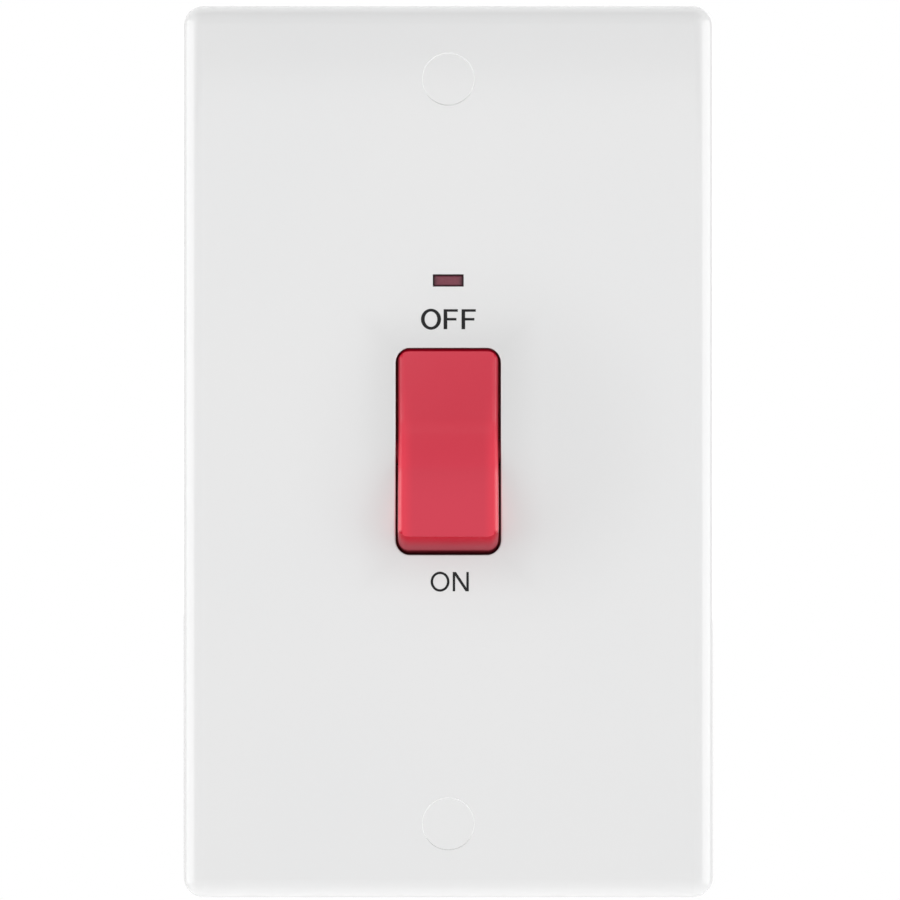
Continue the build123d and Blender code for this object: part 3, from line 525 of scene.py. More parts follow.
# %% [markdown]
# Behind the lens, the lamp is clear glass with a smoky film near its electrodes, and its resistor is
# lacquered, with the usual painted rings. The glass is true transmission, because it is thin and pale.
# Each ring is a mask on the place along the resistor, which is simpler than modelled rings and lies
# as flat as paint.

# %% Lamp and resistor

GLASS_CLEAR, GLASS_SMOKE = (0.96, 0.97, 0.96, 1.0), (0.35, 0.33, 0.31, 1.0)
SMOKE_BAND, SMOKE_LUMPS, SMOKE_LEAST = (2.0 * MM, 4.5 * MM), 1.2 * MM, 0.7
LACQUER, LACQUER_DARK, LACQUER_LUMPS = (0.66, 0.52, 0.33, 1.0), (0.58, 0.44, 0.27, 1.0), 0.8 * MM
RING_BAND = (0.18 * MM, 0.22 * MM)
RINGS = (
    (6.6 * MM, (0.35, 0.16, 0.05, 1.0)),
    (7.4 * MM, (0.02, 0.02, 0.02, 1.0)),
    (8.2 * MM, (0.80, 0.62, 0.02, 1.0)),
)


def lamp_finish():
    """Clear glass with a smoky film towards both ends."""
    material, shader, place = new_finish("lamp_glass", IOR=1.47, Roughness=0.03, Transmission_Weight=1.0)
    x = place.split()[0]
    lumps = place.noise(SMOKE_LUMPS, detail=3.0)
    smoke = abs(x).step(*SMOKE_BAND) * (SMOKE_LEAST + (1 - SMOKE_LEAST) * lumps)
    feed(shader, Base_Color=smoke.between(GLASS_CLEAR, GLASS_SMOKE))
    return material


def resistor_finish():
    """Tan lacquer with painted rings round it."""
    material, shader, place = new_finish("resistor_lacquer", Roughness=0.3, Coat_Weight=0.3)
    x = place.split()[0]
    colour = place.noise(LACQUER_LUMPS, detail=3.0).between(LACQUER, LACQUER_DARK)
    for middle, paint in RINGS:
        ring = 1 - abs(x - middle).step(*RING_BAND)
        colour = ring.between(colour, paint)
    feed(shader, Base_Color=colour)
    return material


lamp_glass, resistor_lacquer = lamp_finish(), resistor_finish()
print("behind the lens:", lamp_glass.name, resistor_lacquer.name)

# %% [markdown]
# Each CAD node keeps its own mesh and gets its finish in its material slot. The finishes could be
# given one by one, but the record names a slot for every node, so one table from slot to finish
# dresses them all. The caps are the one exception: their white differs a little from the plate's.

# %% Dress the CAD nodes

finish_of_slot = {
    "white_moulding": plate_white,
    "red_moulding": rocker_red,
    "base_moulding": base_ivory,
    "plunger_plastic": plunger_nylon,
    "plated_steel": metals["plated_steel"],
    "spring_steel": metals["spring_steel"],
    "copper": metals["contact_copper"],
    "silver": metals["contact_silver"],
    "strip_brass": metals["strip_brass"],
    "terminal_brass": metals["block_brass"],
    "screw_brass": metals["screw_brass"],
    "lens_red": lens_red,
    "lamp_glass": lamp_glass,
    "resistor_body": resistor_lacquer,
    "lead_copper": metals["lead_tin"],
}
slot_of_node = {part["node"]: part["material_slot"] for part in frame["record"]["subparts"]}
for name, node in nodes.items():
    node.material_slots[0].material = finish_of_slot[slot_of_node[name]]
for name in ("screw_cap_upper", "screw_cap_lower"):
    nodes[name].material_slots[0].material = cap_white
print("dressed", len(nodes), "nodes with", len(set(slot_of_node.values())), "slots")

# %% [markdown]
# New pieces are grids of points: a function of two parameters, worked out for the whole grid at once.
# Several grids can share one mesh. Where a grid closes on a point, its corners are welded, and then
# the normals are turned outwards. Blender's own primitives would be quicker to add, but a formula can
# hold a thread or a slot that they can't.

# %% Meshes from grids

WELD, CREASE = 1e-7, 0.6


def squares(rows, columns, wrap_rows=False, wrap_columns=False):
    """Corner numbers of a grid's squares, row by row; a wrapped side joins its start."""
    row, column = np.meshgrid(
        np.arange(rows if wrap_rows else rows - 1),
        np.arange(columns if wrap_columns else columns - 1),
        indexing="ij",
    )
    low, high = row * columns, (row + 1) % rows * columns
    left, right = column, (column + 1) % columns
    return np.stack([low + left, low + right, high + right, high + left], axis=-1).reshape(-1, 4)


def weld_and_turn(mesh):
    """Merge doubled corners, drop what has no area, and turn every face outwards."""
    work = bmesh.new()
    work.from_mesh(mesh)
    bmesh.ops.remove_doubles(work, verts=work.verts, dist=WELD)
    bmesh.ops.dissolve_degenerate(work, edges=work.edges, dist=WELD)
    bmesh.ops.recalc_face_normals(work, faces=work.faces)
    work.to_mesh(mesh)
    work.free()


def add_piece(name, shells, material, body):
    """One object from several shells of points and faces, smooth but for its creases."""
    points, faces, count = [], [], 0
    for shell_points, shell_faces in shells:
        points.append(shell_points.reshape(-1, 3))
        for corners in shell_faces:
            faces += (corners + count).tolist()
        count += len(points[-1])
    mesh = bpy.data.meshes.new(name)
    mesh.from_pydata(np.concatenate(points).tolist(), [], faces)
    weld_and_turn(mesh)
    mesh.materials.append(material)
    mesh.shade_smooth()
    mesh.set_sharp_from_angle(angle=CREASE)
    piece = bpy.data.objects.new(name, mesh)
    bpy.context.scene.collection.objects.link(piece)
    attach(piece, body)
    print(name, len(mesh.vertices), "points", len(mesh.polygons), "faces")
    return piece


print("mesh helpers are ready")

# %% [markdown]
# The words are printed: a film of black ink, thinner than a hair, lying on the plate's face. It could
# be a mask in the plate's finish, but a thin piece of its own keeps crisp edges from any distance. The
# film is slightly uneven, which a fine noise shows in its colour and its gloss.

# %% Ink

INK, INK_LUMPS, INK_ROUGH, FILM_ROUGH = 0.02 * MM, 0.12 * MM, 0.35, 0.2
INK_BLACK, INK_WORN = (0.015, 0.015, 0.016, 1.0), (0.028, 0.028, 0.029, 1.0)


def ink_finish():
    """Black ink with a slightly uneven film."""
    material, shader, place = new_finish("print_ink", IOR=1.2)
    film = place.noise(INK_LUMPS, detail=3.0)
    feed(shader, Base_Color=film.between(INK_BLACK, INK_WORN))
    feed(shader, Roughness=INK_ROUGH + FILM_ROUGH * film)
    return material


print_ink = ink_finish()
print("ink:", print_ink.name, INK / MM, "mm thick on the face at", round(FACE_Y / MM, 2), "mm")

# %% [markdown]
# A text object could make the letters, but then its font decides the strokes. Here each letter is an
# outline carried from the back of the film to its front and closed by a flat face. An O is two
# ellipses, one inside the other, so it is a ring instead: a small rectangle carried round an ellipse.

# %% Letters

O_STEPS = 96


def letter_o(left, middle, width, height, side, top):
    """A ring: at each angle the four corners of the film, on the outer and the inner ellipse."""
    angle = np.linspace(0, 2 * np.pi, O_STEPS, endpoint=False)[:, None]
    shrink_x, shrink_z = np.array([0, side, side, 0]), np.array([0, top, top, 0])
    film = np.array([INK, INK, 0.0, 0.0])
    x = left + width / 2 + (width / 2 - shrink_x) * np.cos(angle)
    z = middle + (height / 2 - shrink_z) * np.sin(angle)
    points = np.stack([x, FACE_Y - film + 0 * x, z], axis=-1)
    return points, [squares(O_STEPS, 4, wrap_rows=True, wrap_columns=True)]


def letter_outline(outline, left, bottom):
    """A closed outline carried from the face to the front of the film, with a flat face at each end."""
    outline = np.array(outline) * MM
    count = len(outline)
    depth = np.array([FACE_Y, FACE_Y - INK])
    x = (left + outline[:, 0])[:, None] + 0 * depth
    z = (bottom + outline[:, 1])[:, None] + 0 * depth
    points = np.stack([x, depth + 0 * x, z], axis=-1)
    ends = np.arange(count) * 2
    return points, [squares(count, 2, wrap_rows=True), ends[None, :], ends[None, ::-1] + 1]


def outline_f(width, height, stem, bar, middle, middle_width):
    """The outline of an F, from its foot round to the right, in millimetres."""
    low, high = middle - bar / 2, middle + bar / 2
    return [
        (0, 0), (stem, 0), (stem, low), (middle_width, low), (middle_width, high), (stem, high),
        (stem, height - bar), (width, height - bar), (width, height), (0, height),
    ]


def outline_n(width, height, stem, slant):
    """The outline of an N: two stems and a band between opposite corners, in millimetres."""
    meet = height * stem / (width - slant)
    return [
        (0, 0), (stem, 0), (stem, height - meet), (width - slant, 0), (width, 0), (width, height),
        (width - stem, height), (width - stem, meet), (slant, height), (0, height),
    ]


print("letters are ready:", O_STEPS, "steps round an O")

# %% [markdown]
# OFF stands above the rocker and ON below it. The two words differ in weight: OFF has heavier stems.
# Each word is one piece, with its letters as shells of one mesh, so it rides on the plate's body as a
# whole. The letters' places and the widths of their strokes were measured in the photograph.

# %% The two words

OFF_Z, ON_Z = 21.42 * MM, -21.08 * MM
OFF_HEIGHT, ON_HEIGHT = 3.24 * MM, 3.14 * MM
f_height, n_height = OFF_HEIGHT / MM, ON_HEIGHT / MM
f_shape = outline_f(2.31, f_height, stem=0.59, bar=0.41, middle=f_height / 2, middle_width=2.08)
n_shape = outline_n(2.61, n_height, stem=0.40, slant=0.53)
off_letters = [
    letter_o(-4.42 * MM, OFF_Z, 3.25 * MM, OFF_HEIGHT + 0.16 * MM, side=0.6 * MM, top=0.46 * MM),
    letter_outline(f_shape, -0.75 * MM, OFF_Z - OFF_HEIGHT / 2),
    letter_outline(f_shape, 2.15 * MM, OFF_Z - OFF_HEIGHT / 2),
]
on_letters = [
    letter_o(-2.86 * MM, ON_Z, 3.06 * MM, ON_HEIGHT + 0.1 * MM, side=0.41 * MM, top=0.39 * MM),
    letter_outline(n_shape, 0.72 * MM, ON_Z - ON_HEIGHT / 2),
]
add_piece("word_off", off_letters, print_ink, "housing")
add_piece("word_on", on_letters, print_ink, "housing")

# %% [markdown]
# A screw shows its thread. A thread could be a ridge carried along a helix, but it is simpler as a
# cylinder whose radius falls and rises once in each turn: one formula for the radius, by the place
# along the stem and the angle round it, gives the whole stem as a closed grid with no seams. A plain
# neck is the same grid with one radius.

# %% Screw stems

STEM_SIDES, NECK_SIDES, ROWS_PER_TURN = 28, 32, 8
GROOVE_SLOPE, CREST_FLAT, POINT_SHARE = 1.3, 0.15, 0.62


def round_grid(x0, z0, y, radius, sides):
    """Points at these places along Y and these radii from a line, as a grid that is closed round it."""
    angle = np.linspace(0, 2 * np.pi, sides, endpoint=False)[None, :]
    x, z = x0 + radius * np.cos(angle), z0 + radius * np.sin(angle)
    return np.stack([x, y + 0 * angle, z], axis=-1), [squares(len(y), sides, wrap_columns=True)]


def threaded_stem(x0, z0, start, end, radius, pitch, depth, point):
    """Radius by place and angle: full at a crest, less by the depth at a root, drawn in at the point."""
    rows = int(abs(end - start) / pitch * ROWS_PER_TURN) + 1
    y = np.linspace(start, end, rows)[:, None]
    angle = np.linspace(0, 2 * np.pi, STEM_SIDES, endpoint=False)[None, :]
    turn = (y / pitch - angle / (2 * np.pi)) % 1.0
    groove = np.clip(GROOVE_SLOPE * np.abs(2 * turn - 1) - CREST_FLAT, 0, 1)
    run = np.clip(np.abs(end - y) / point, 0, 1)
    r = (radius - depth * groove) * (POINT_SHARE + (1 - POINT_SHARE) * np.sqrt(run))
    r = np.vstack([0 * angle, r, 0 * angle])
    return round_grid(x0, z0, np.vstack([y[:1], y, y[-1:]]), r, STEM_SIDES)


def plain_stem(x0, z0, start, end, radius):
    """A round bar: the same radius all the way, closed at both ends."""
    r = np.array([0, radius, radius, 0])[:, None]
    return round_grid(x0, z0, np.array([start, start, end, end])[:, None], r, NECK_SIDES)


print("screw stems are ready:", STEM_SIDES, "sides,", ROWS_PER_TURN, "rows in a turn")

# %% [markdown]
# A screw's head shows its drive. A boolean cut would do, but it leaves long thin faces. A slotted head
# is built from sections along its slot instead: each is a chord of the round head with the slot's
# groove in its middle. A cross drive is a dished top, lowered along two crossed bars.

# %% Screw heads

SLOT_WIDTH, SLOT_DEPTH = 1.0 * MM, 1.0 * MM
HEAD_SECTIONS, SECTION_CORNERS = 49, 10
SEAT_CORNERS, SLOT_CORNERS = [0, 9], [4, 5]
CROSS_BAR, CROSS_REACH, CROSS_DEPTH = 0.42 * MM, 1.5 * MM, 1.2 * MM
CROSS_SIDES, CROSS_RINGS, CROSS_DISH = 96, 25, 0.35
BAR_SIDE_SOFT, BAR_END_SOFT = 0.25 * CROSS_BAR, 0.5 * CROSS_BAR


def slotted_head(x0, z0, seat, top, radius, crown):
    """Sections along the slot: each is a chord of the head, lowered in the slot and towards the rim."""
    swing = np.linspace(-np.pi / 2, np.pi / 2, HEAD_SECTIONS)[:, None]
    along, half = radius * np.sin(swing), radius * np.cos(swing)
    edge = np.minimum(SLOT_WIDTH / 2, half)
    shoulder = (half + edge) / 2
    across = np.hstack([-half, -half, -shoulder, -edge, -edge, edge, edge, shoulder, half, half])
    height = abs(top - seat)
    dome = height - crown * (along**2 + across**2) / radius**2
    sunk = np.minimum(dome, height - SLOT_DEPTH)
    level = np.where(half > SLOT_WIDTH / 2, dome, sunk)
    level[:, SEAT_CORNERS] = 0
    level[:, SLOT_CORNERS] = sunk[:, SLOT_CORNERS]
    y = seat + np.sign(top - seat) * level
    points = np.stack([x0 + along + 0 * across, y, z0 + across], axis=-1)
    return points, [squares(HEAD_SECTIONS, SECTION_CORNERS, wrap_columns=True)]


def crossed_head(x0, z0, seat, top, radius):
    """A dished top over a grid of radius and angle, lowered where either of two crossed bars runs."""
    angle = np.linspace(0, 2 * np.pi, CROSS_SIDES, endpoint=False)[None, :]
    share = np.linspace(1, 0, CROSS_RINGS)[:, None]
    across, up = radius * share * np.cos(angle), radius * share * np.sin(angle)
    near, far = np.minimum(np.abs(across), np.abs(up)), np.maximum(np.abs(across), np.abs(up))
    side = np.clip((CROSS_BAR - near) / BAR_SIDE_SOFT + 0.5, 0, 1)
    end = np.clip((CROSS_REACH - far) / BAR_END_SOFT + 0.5, 0, 1)
    level = abs(top - seat) * (1 - CROSS_DISH * share**4) - CROSS_DEPTH * side * end
    level = np.vstack([0 * angle, 0 * angle, level])
    r = np.vstack([0 * share[:1], share[:1], share]) * radius
    return round_grid(x0, z0, seat + np.sign(top - seat) * level, r, CROSS_SIDES)


print("screw heads are ready:", HEAD_SECTIONS, "sections,", CROSS_SIDES, "sides")

# %% [markdown]
# Two plated screws under the caps hold the switch to its wall box. Each has a slotted head, a waist
# that keeps it in the plate, and a long thread. The new screws stand for the CAD node, whose stems are
# plain. Their places could be written down, but they follow from the node's box: a screw's middle lies
# a head's radius in from the sides. Where the box is one head wide, both of its sides give the same
# place, and a set of rounded numbers keeps it only once.

# %% Plate screws

PLATE_HEAD, PLATE_HEAD_HEIGHT = 3.2 * MM, 2.0 * MM
NECK_START, NECK_END, NECK_RADIUS = 1.8 * MM, 0.7 * MM, 1.4 * MM
THREAD_START, THREAD_RADIUS = 0.6 * MM, 1.75 * MM
DIGITS = 7


def add_screws(name, node, metal, head_radius, screw):
    """One piece for a node: a screw at each place that lies a head's radius in from its box's sides."""
    low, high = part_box(node)
    xs = sorted({round(low.x + head_radius, DIGITS), round(high.x - head_radius, DIGITS)})
    zs = sorted({round(low.z + head_radius, DIGITS), round(high.z - head_radius, DIGITS)})
    shells = [shell for x in xs for z in zs for shell in screw(x, z, low.y, high.y)]
    piece = add_piece(name, shells, metals[metal], "housing")
    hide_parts(node)


def plate_screw(x, z, front, back):
    """A slotted head at the front, a waist, and a thread to the back."""
    seat = front + PLATE_HEAD_HEIGHT
    return [
        slotted_head(x, z, seat, front, PLATE_HEAD, crown=0.25 * MM),
        plain_stem(x, z, front + NECK_START, NECK_END, NECK_RADIUS),
        threaded_stem(
            x, z, THREAD_START, back, THREAD_RADIUS, pitch=0.6 * MM, depth=0.32 * MM, point=0.9 * MM
        ),
    ]


add_screws("threaded_plate_screws", "plate_screws", "plated_steel", PLATE_HEAD, plate_screw)

# %% [markdown]
# Each brass terminal clamps its cable with a slotted brass screw. The four large terminals and the
# smaller earth terminal take the same screw, so one function makes it for both nodes. The heads face
# the back, and the stems point to the front.

# %% Terminal and earth screws

BRASS_HEAD, BRASS_HEAD_HEIGHT, BRASS_STEM = 2.9 * MM, 2.4 * MM, 2.5 * MM
STEM_LAP = 0.2 * MM


def clamp_screw(x, z, front, back):
    """A slotted head at the back and a thread to the front."""
    seat = back - BRASS_HEAD_HEIGHT
    return [
        slotted_head(x, z, seat, back, BRASS_HEAD, crown=0.3 * MM),
        threaded_stem(
            x, z, seat + STEM_LAP, front, BRASS_STEM, pitch=0.8 * MM, depth=0.42 * MM, point=0.5 * MM
        ),
    ]


for node in ("terminal_screws", "earth_screw"):
    add_screws("slotted_" + node, node, "screw_brass", BRASS_HEAD, clamp_screw)

# %% [markdown]
# Four thread-forming screws with a cross drive hold the base to the plate. Their threads are coarser
# and their points longer, because they form their own thread in the plate's posts. The stem's formula
# takes these as numbers, so only the head needs a function of its own.

# %% Base screws

BASE_HEAD, BASE_HEAD_HEIGHT, BASE_STEM = 2.7 * MM, 1.8 * MM, 1.5 * MM


def base_screw(x, z, front, back):
    """A cross drive at the back and a coarse thread to the front."""
    seat = back - BASE_HEAD_HEIGHT
    return [
        crossed_head(x, z, seat, back, BASE_HEAD),
        threaded_stem(
            x, z, seat + STEM_LAP, front, BASE_STEM, pitch=1.2 * MM, depth=0.4 * MM, point=1.5 * MM
        ),
    ]


add_screws("crossed_base_screws", "base_screws", "plated_steel", BASE_HEAD, base_screw)

# %% [markdown]
# A neon lamp is a sealed glass tube with two small rods side by side inside it. The gas between them
# glows when the switch is on. A cylinder would need bevels at its ends, so each rod is a bar whose
# radius falls to nothing there by one formula. The two are set off from each other along the lamp.

# %% Electrodes in the lamp

ROD_ROWS, ROD_SIDES, ROD_ROUNDING = 17, 20, 12
ROD_RADIUS, ROD_OFFSET, ROD_NEAR, ROD_FAR = 0.35 * MM, 0.65 * MM, 1.2 * MM, 2.4 * MM


def rod(start, end, y0, z0):
    """A bar along X with rounded ends: the radius falls to nothing over its first and last part."""
    way = np.linspace(0, 1, ROD_ROWS)[:, None]
    angle = np.linspace(0, 2 * np.pi, ROD_SIDES, endpoint=False)[None, :]
    r = ROD_RADIUS * (1 - np.abs(2 * way - 1) ** ROD_ROUNDING) ** 0.5 + 0 * angle
    x = start + (end - start) * way + 0 * angle
    points = np.stack([x, y0 + r * np.cos(angle), z0 + r * np.sin(angle)], axis=-1)
    return points, [squares(ROD_ROWS, ROD_SIDES, wrap_columns=True)]


low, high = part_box("neon_lamp")
lamp_y, lamp_z = (low.y + high.y) / 2, (low.z + high.z) / 2
rods = [
    rod(low.x + ROD_NEAR, high.x - ROD_FAR, lamp_y, lamp_z + ROD_OFFSET),
    rod(low.x + ROD_FAR, high.x - ROD_NEAR, lamp_y, lamp_z - ROD_OFFSET),
]
add_piece("lamp_electrodes", rods, metals["spring_steel"], "housing")

# %% [markdown]
# Inside the rocker a coil spring presses each plunger towards its see-saw contact. A coil is a circle
# carried along a helix. The Screw modifier makes one too, but a formula sets both ends exactly. When a
# plunger is pressed in, its spring gets shorter. Each coil is made here as a new piece with a mesh of
# its own, rides on the rocker, and stands for the CAD one. Its fixed end and the share of its length
# that it keeps are worked out, but nothing here shortens it.

# %% Plunger springs

COIL_RADIUS, COIL_WIRE, COIL_END, COIL_PLAY = 1.15 * MM, 0.2 * MM, 2.5 * MM, 0.04 * MM
COIL_TURNS, STEPS_PER_TURN, WIRE_SIDES = 5, 40, 12


def coil(pivot, line, start, end):
    """A circle carried along a helix: its centre turns about the line while it moves along it."""
    way = np.linspace(0, 1, COIL_TURNS * STEPS_PER_TURN + 1)[:, None, None]
    rise = end - start - 2 * COIL_WIRE
    turn = 2 * np.pi * COIL_TURNS * way
    right = np.array([1.0, 0.0, 0.0])
    up = np.cross(line, right)
    outward = np.cos(turn) * right + np.sin(turn) * up
    onward = np.cos(turn) * up - np.sin(turn) * right
    ahead = COIL_RADIUS * onward + rise / (2 * np.pi * COIL_TURNS) * line
    sideways = np.cross(ahead / np.linalg.norm(ahead, axis=-1, keepdims=True), outward)
    centre = pivot + (start + COIL_WIRE + rise * way) * line + COIL_RADIUS * outward
    angle = np.linspace(0, 2 * np.pi, WIRE_SIDES, endpoint=False)[None, :, None]
    ring = centre + COIL_WIRE * (np.cos(angle) * outward + np.sin(angle) * sideways)
    points = np.concatenate([centre[:1] + 0 * ring[:1], ring, centre[-1:] + 0 * ring[:1]])
    return points, [squares(len(points), WIRE_SIDES, wrap_columns=True)]


for pole in ("live", "neutral"):
    node, slide = "plunger_spring_" + pole, joints[f"plunger_{pole}_slide"]
    line = -np.array(slide["axis"])
    seat = (slide["deforming_nodes"][0]["fixed_end_y_m"] - AXIS_Y) / line[1]
    low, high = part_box(node)
    pivot = np.array([(low.x + high.x) / 2, AXIS_Y, 0.0])
    shells = [coil(pivot, line, seat, COIL_END)]
    spring = add_piece("coil_" + pole, shells, metals["spring_steel"], "rocker")
    anchor = (pivot + seat * line).tolist()
    keep = float(1 - (slide["range_m"][1] + COIL_PLAY) / (COIL_END - seat))
    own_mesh(spring)
    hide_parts(node)

# %% [markdown]
# The object stands on pure white, as in a catalogue. A world as bright as that would also wash the
# object out, so the Light Path node gives the world two strengths: plain white where the camera looks
# past the object, and in mirrors and glass, and a soft grey room as light on everything else.

# %% World

ROOM = 0.3
SEEN_RAYS = ("Is Camera Ray", "Is Glossy Ray", "Is Transmission Ray")


def seen_directly(tree):
    """1 for what the camera sees straight, in a mirror or through glass, and 0 for light on things."""
    outputs = Signal(tree).make("LightPath").socket.node.outputs
    camera, glossy, through = [Signal(tree, outputs[name]) for name in SEEN_RAYS]
    return camera.math("MAXIMUM", glossy).math("MAXIMUM", through)


def studio_world():
    """White to look at, a soft grey room as light."""
    world = bpy.data.worlds.new("studio")
    world.use_nodes = True
    tree = world.node_tree
    tree.nodes.clear()
    seen = seen_directly(tree)
    room = seen.make("Background", sockets={"Color": grey(1.0), "Strength": ROOM})
    white = seen.make("Background", sockets={"Color": grey(1.0), "Strength": 1.0})
    mixed = seen.make("MixShader", sockets={0: seen, 1: room, 2: white})
    mixed.make("OutputWorld", sockets={"Surface": mixed})
    return world


scene = bpy.context.scene
scene.world = studio_world()
print("world:", scene.world.name, "room light", ROOM)

# %% [markdown]
# The floor is a sheet of pale paper well below the object. It keeps the object's shadow in its middle
# and fades to plain white further out, so no edge of it shows. From below it is clear: the Geometry
# node says which side of a face is seen, and a Transparent shader takes over on the back, so that a
# view from under the object isn't blocked.

# %% Floor

FLOOR_DROP, FLOOR_REACH, FLOOR_POINTS = 200 * MM, 0.35, 3
FADE_BAND = (0.2, 0.32)
FIBRE, PAPER, PAPER_DARK = 6 * MM, grey(0.82), grey(0.80)
FLOOR_Z = cad_box[0].z - FLOOR_DROP


def floor_finish():
    """Pale paper near the middle, fading to plain white further out, and clear from below."""
    material, shader, place = new_finish("floor_paper", Roughness=0.9)
    tree = material.node_tree
    feed(shader, Base_Color=place.noise(FIBRE, detail=4.0).between(PAPER, PAPER_DARK))
    x, y = place.split()[:2]
    fade = seen_directly(tree) * distance(x, y).step(*FADE_BAND)
    glow = place.make("Emission", sockets={"Color": grey(1.0), "Strength": 1.0})
    paper = place.make("MixShader", sockets={0: fade, 1: Signal(tree, shader.outputs[0]), 2: glow})
    below = place.make("NewGeometry", output="Backfacing")
    clear = place.make("BsdfTransparent")
    mixed = place.make("MixShader", sockets={0: below, 1: paper, 2: clear})
    tree.links.new(mixed.socket, tree.nodes["Material Output"].inputs["Surface"])
    return material


def add_stage(name, points, faces, finish):
    """A sheet of the studio: no part of the object, no shadow of its own, and no light back from it."""
    mesh = bpy.data.meshes.new(name)
    mesh.from_pydata(points.reshape(-1, 3).tolist(), [], faces.tolist())
    mesh.materials.append(finish)
    sheet = bpy.data.objects.new(name, mesh)
    scene.collection.objects.link(sheet)
    sheet.visible_shadow = False
    sheet.visible_diffuse = False
    return sheet


reach = np.linspace(-FLOOR_REACH, FLOOR_REACH, FLOOR_POINTS)
floor_x, floor_y = np.meshgrid(reach, reach)
floor_points = np.stack([floor_x, floor_y, 0 * floor_x + FLOOR_Z], axis=-1)
add_stage("floor", floor_points, squares(FLOOR_POINTS, FLOOR_POINTS), floor_finish())
print("floor at", round(FLOOR_Z / MM, 1), "mm")

# %% [markdown]
# Soft light comes from large panels. One far in front lights the face evenly and is kept out of
# mirrors by its ray visibility, so it leaves no hot spot. One at each side is seen in the gloss: it
# draws the bright bands along the rounded edges and on the rocker's sides. One above and one below,
# both behind the face and out of mirrors, brighten the upper and lower rims, and a weak one at the back
# keeps that side easy to read. Small lamps would be simpler, but they cast hard shadows and leave
# bright dots in the gloss. A level says how bright a panel's surface is, whatever its size.

# %% Lamps


def panel(name, place, width, height, level, in_gloss):
    """A flat lamp turned to the object; its power is its level times pi times its area."""
    light = bpy.data.lights.new(name, "AREA")
    light.shape = "RECTANGLE"
    light.size, light.size_y = width, height
    light.energy = level * math.pi * width * height
    lamp = bpy.data.objects.new(name, light)
    scene.collection.objects.link(lamp)
    lamp.location = place
    lamp.rotation_euler = (-Vector(place)).to_track_quat("-Z", "Y").to_euler()
    lamp.visible_glossy = in_gloss


panel("front_main", (0.0, -2.3, 0.25), width=1.5, height=1.0, level=6.58, in_gloss=False)
panel("left_panel", (-1.2, -0.1, 0.0), width=1.35, height=1.2, level=1.7, in_gloss=True)
panel("right_panel", (1.2, -0.1, 0.0), width=1.35, height=1.2, level=1.7, in_gloss=True)
panel("top_panel", (0.0, 0.75, 1.1), width=1.2, height=0.7, level=5.2, in_gloss=False)
panel("bottom_panel", (0.0, 0.14, -1.2), width=1.2, height=0.8, level=3.7, in_gloss=False)
panel("back_panel", (0.3, 1.4, 0.3), width=1.2, height=0.8, level=0.5, in_gloss=True)

# %% [markdown]
# A gloss face mirrors the room. In the picture the plate is a little darker in a wide patch around the
# rocker, as if it mirrored the dark camera. Paint could show that, like the painted shade close to the
# rocker, but paint stays when the object turns. A round black card in front of the plate stands in for
# the camera instead. The card glows more towards its rim, so that its mirror image fades out.

# %% Camera card

FELT_LUMPS, FELT, FELT_WORN = 20 * MM, grey(0.01), grey(0.02)
LENS_CARD_X, LENS_CARD_Y, LENS_CARD_Z = 0.014, -0.68, 0.002
LENS_CARD_DARK, LENS_CARD_RADIUS, LENS_CARD_SIDES = 0.028, 0.07, 32


def card_finish(name, x0, z0, near, far, inner, outer):
    """Black felt whose glow goes from the inner to the outer grey between two distances from a point."""
    material, shader, place = new_finish(name, Roughness=0.9, Emission_Strength=1.0)
    x, _, z = place.split()
    feed(shader, Base_Color=place.noise(FELT_LUMPS, detail=2.0).between(FELT, FELT_WORN))
    away = distance(x - x0, z - z0)
    feed(shader, Emission_Color=away.step(near, far).between(grey(inner), grey(outer)))
    return material


def mirror_card(name, points, faces, finish):
    """A sheet of the studio that shows in mirrors, but not to the camera itself."""
    card = add_stage(name, points, faces, finish)
    card.visible_camera = False
    print(name, "shows in mirrors,", len(card.data.vertices), "points")


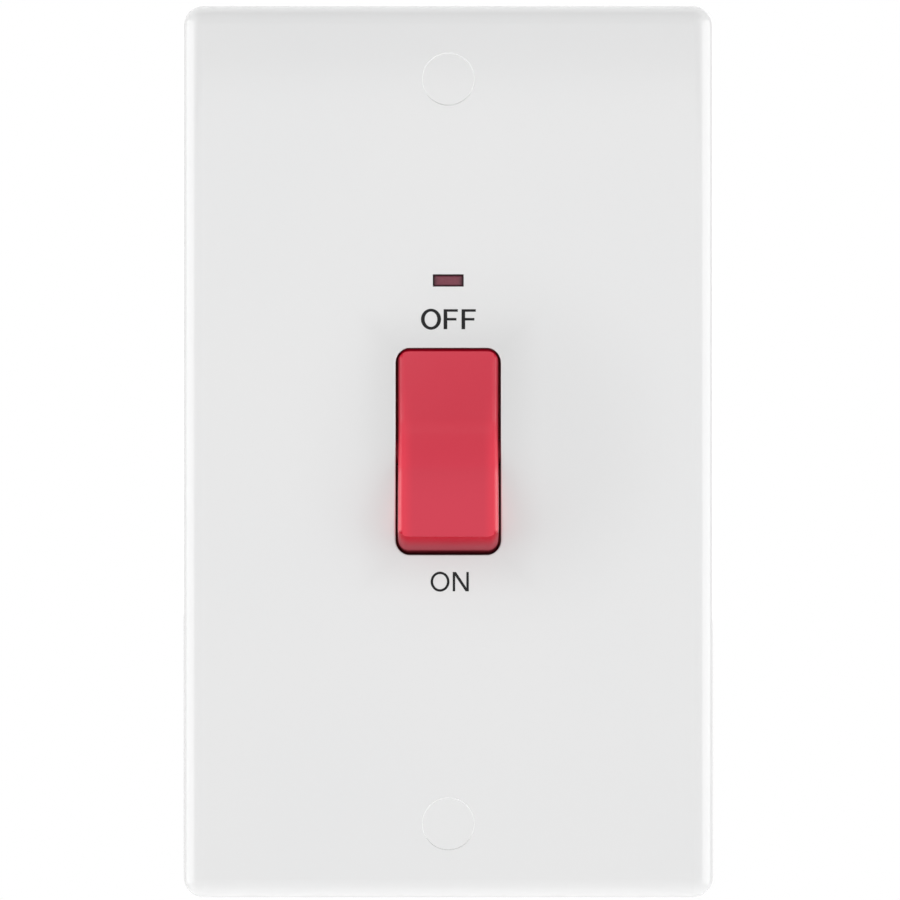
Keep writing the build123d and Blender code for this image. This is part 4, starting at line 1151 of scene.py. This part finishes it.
camera_black = card_finish(
    "camera_black", LENS_CARD_X, LENS_CARD_Z, LENS_CARD_DARK, LENS_CARD_RADIUS, inner=0.0, outer=1.0
)
angle = np.linspace(0, 2 * np.pi, LENS_CARD_SIDES, endpoint=False)
disc_x = LENS_CARD_X + LENS_CARD_RADIUS * np.cos(angle)
disc_z = LENS_CARD_Z + LENS_CARD_RADIUS * np.sin(angle)
disc = np.stack([disc_x, 0 * disc_x + LENS_CARD_Y, disc_z], axis=-1)
mirror_card("camera_card", disc, np.arange(LENS_CARD_SIDES)[None, :], camera_black)

# %% [markdown]
# The plate is a little darker along its upper end too, as if it mirrored a dark room above a white
# tent. A second card stands in for that room: a line of three points, up and then back over the object,
# carried from one side to the other. It reaches so far that its sides don't show in the gloss.

# %% Upper card

CARD_SIDE, CARD_Y, CARD_LOW, CARD_HIGH, CARD_BACK = 1.0, -1.1, 0.163, 1.15, -0.15
room_dark = card_finish("room_dark", 0.0, 0.0, near=0.5, far=1.0, inner=0.08, outer=0.2)
card_line = np.array([(CARD_Y, CARD_LOW), (CARD_Y, CARD_HIGH), (CARD_BACK, CARD_HIGH)])
card_x, card_row = np.meshgrid(np.array([-CARD_SIDE, CARD_SIDE]), np.arange(len(card_line)))
upper = np.stack([card_x, card_line[card_row, 0], card_line[card_row, 1]], axis=-1)
mirror_card("upper_card", upper, squares(len(card_line), 2), room_dark)

# %% [markdown]
# The picture was taken straight on. Its perspective, read from how much of the edges shows, puts the
# camera about 650 mm in front of the face. The focal length follows from that distance, the sensor's
# width, and the width at the face that fills the frame.

# %% Camera

DISTANCE, FIELD, SENSOR = 650 * MM, 145.75 * MM, 36.0
VIEW_X, VIEW_Z = 0.283 * MM, 0.243 * MM
camera_data = bpy.data.cameras.new("camera")
camera_data.sensor_width = SENSOR
camera_data.lens = SENSOR * DISTANCE / FIELD
camera = bpy.data.objects.new("camera", camera_data)
scene.collection.objects.link(camera)
camera.location = (VIEW_X, FACE_Y - DISTANCE, VIEW_Z)
camera.rotation_euler = (math.pi / 2, 0, 0)
scene.camera = camera
scene.view_settings.view_transform = "Standard"
print("lens", round(camera_data.lens, 1), "mm")
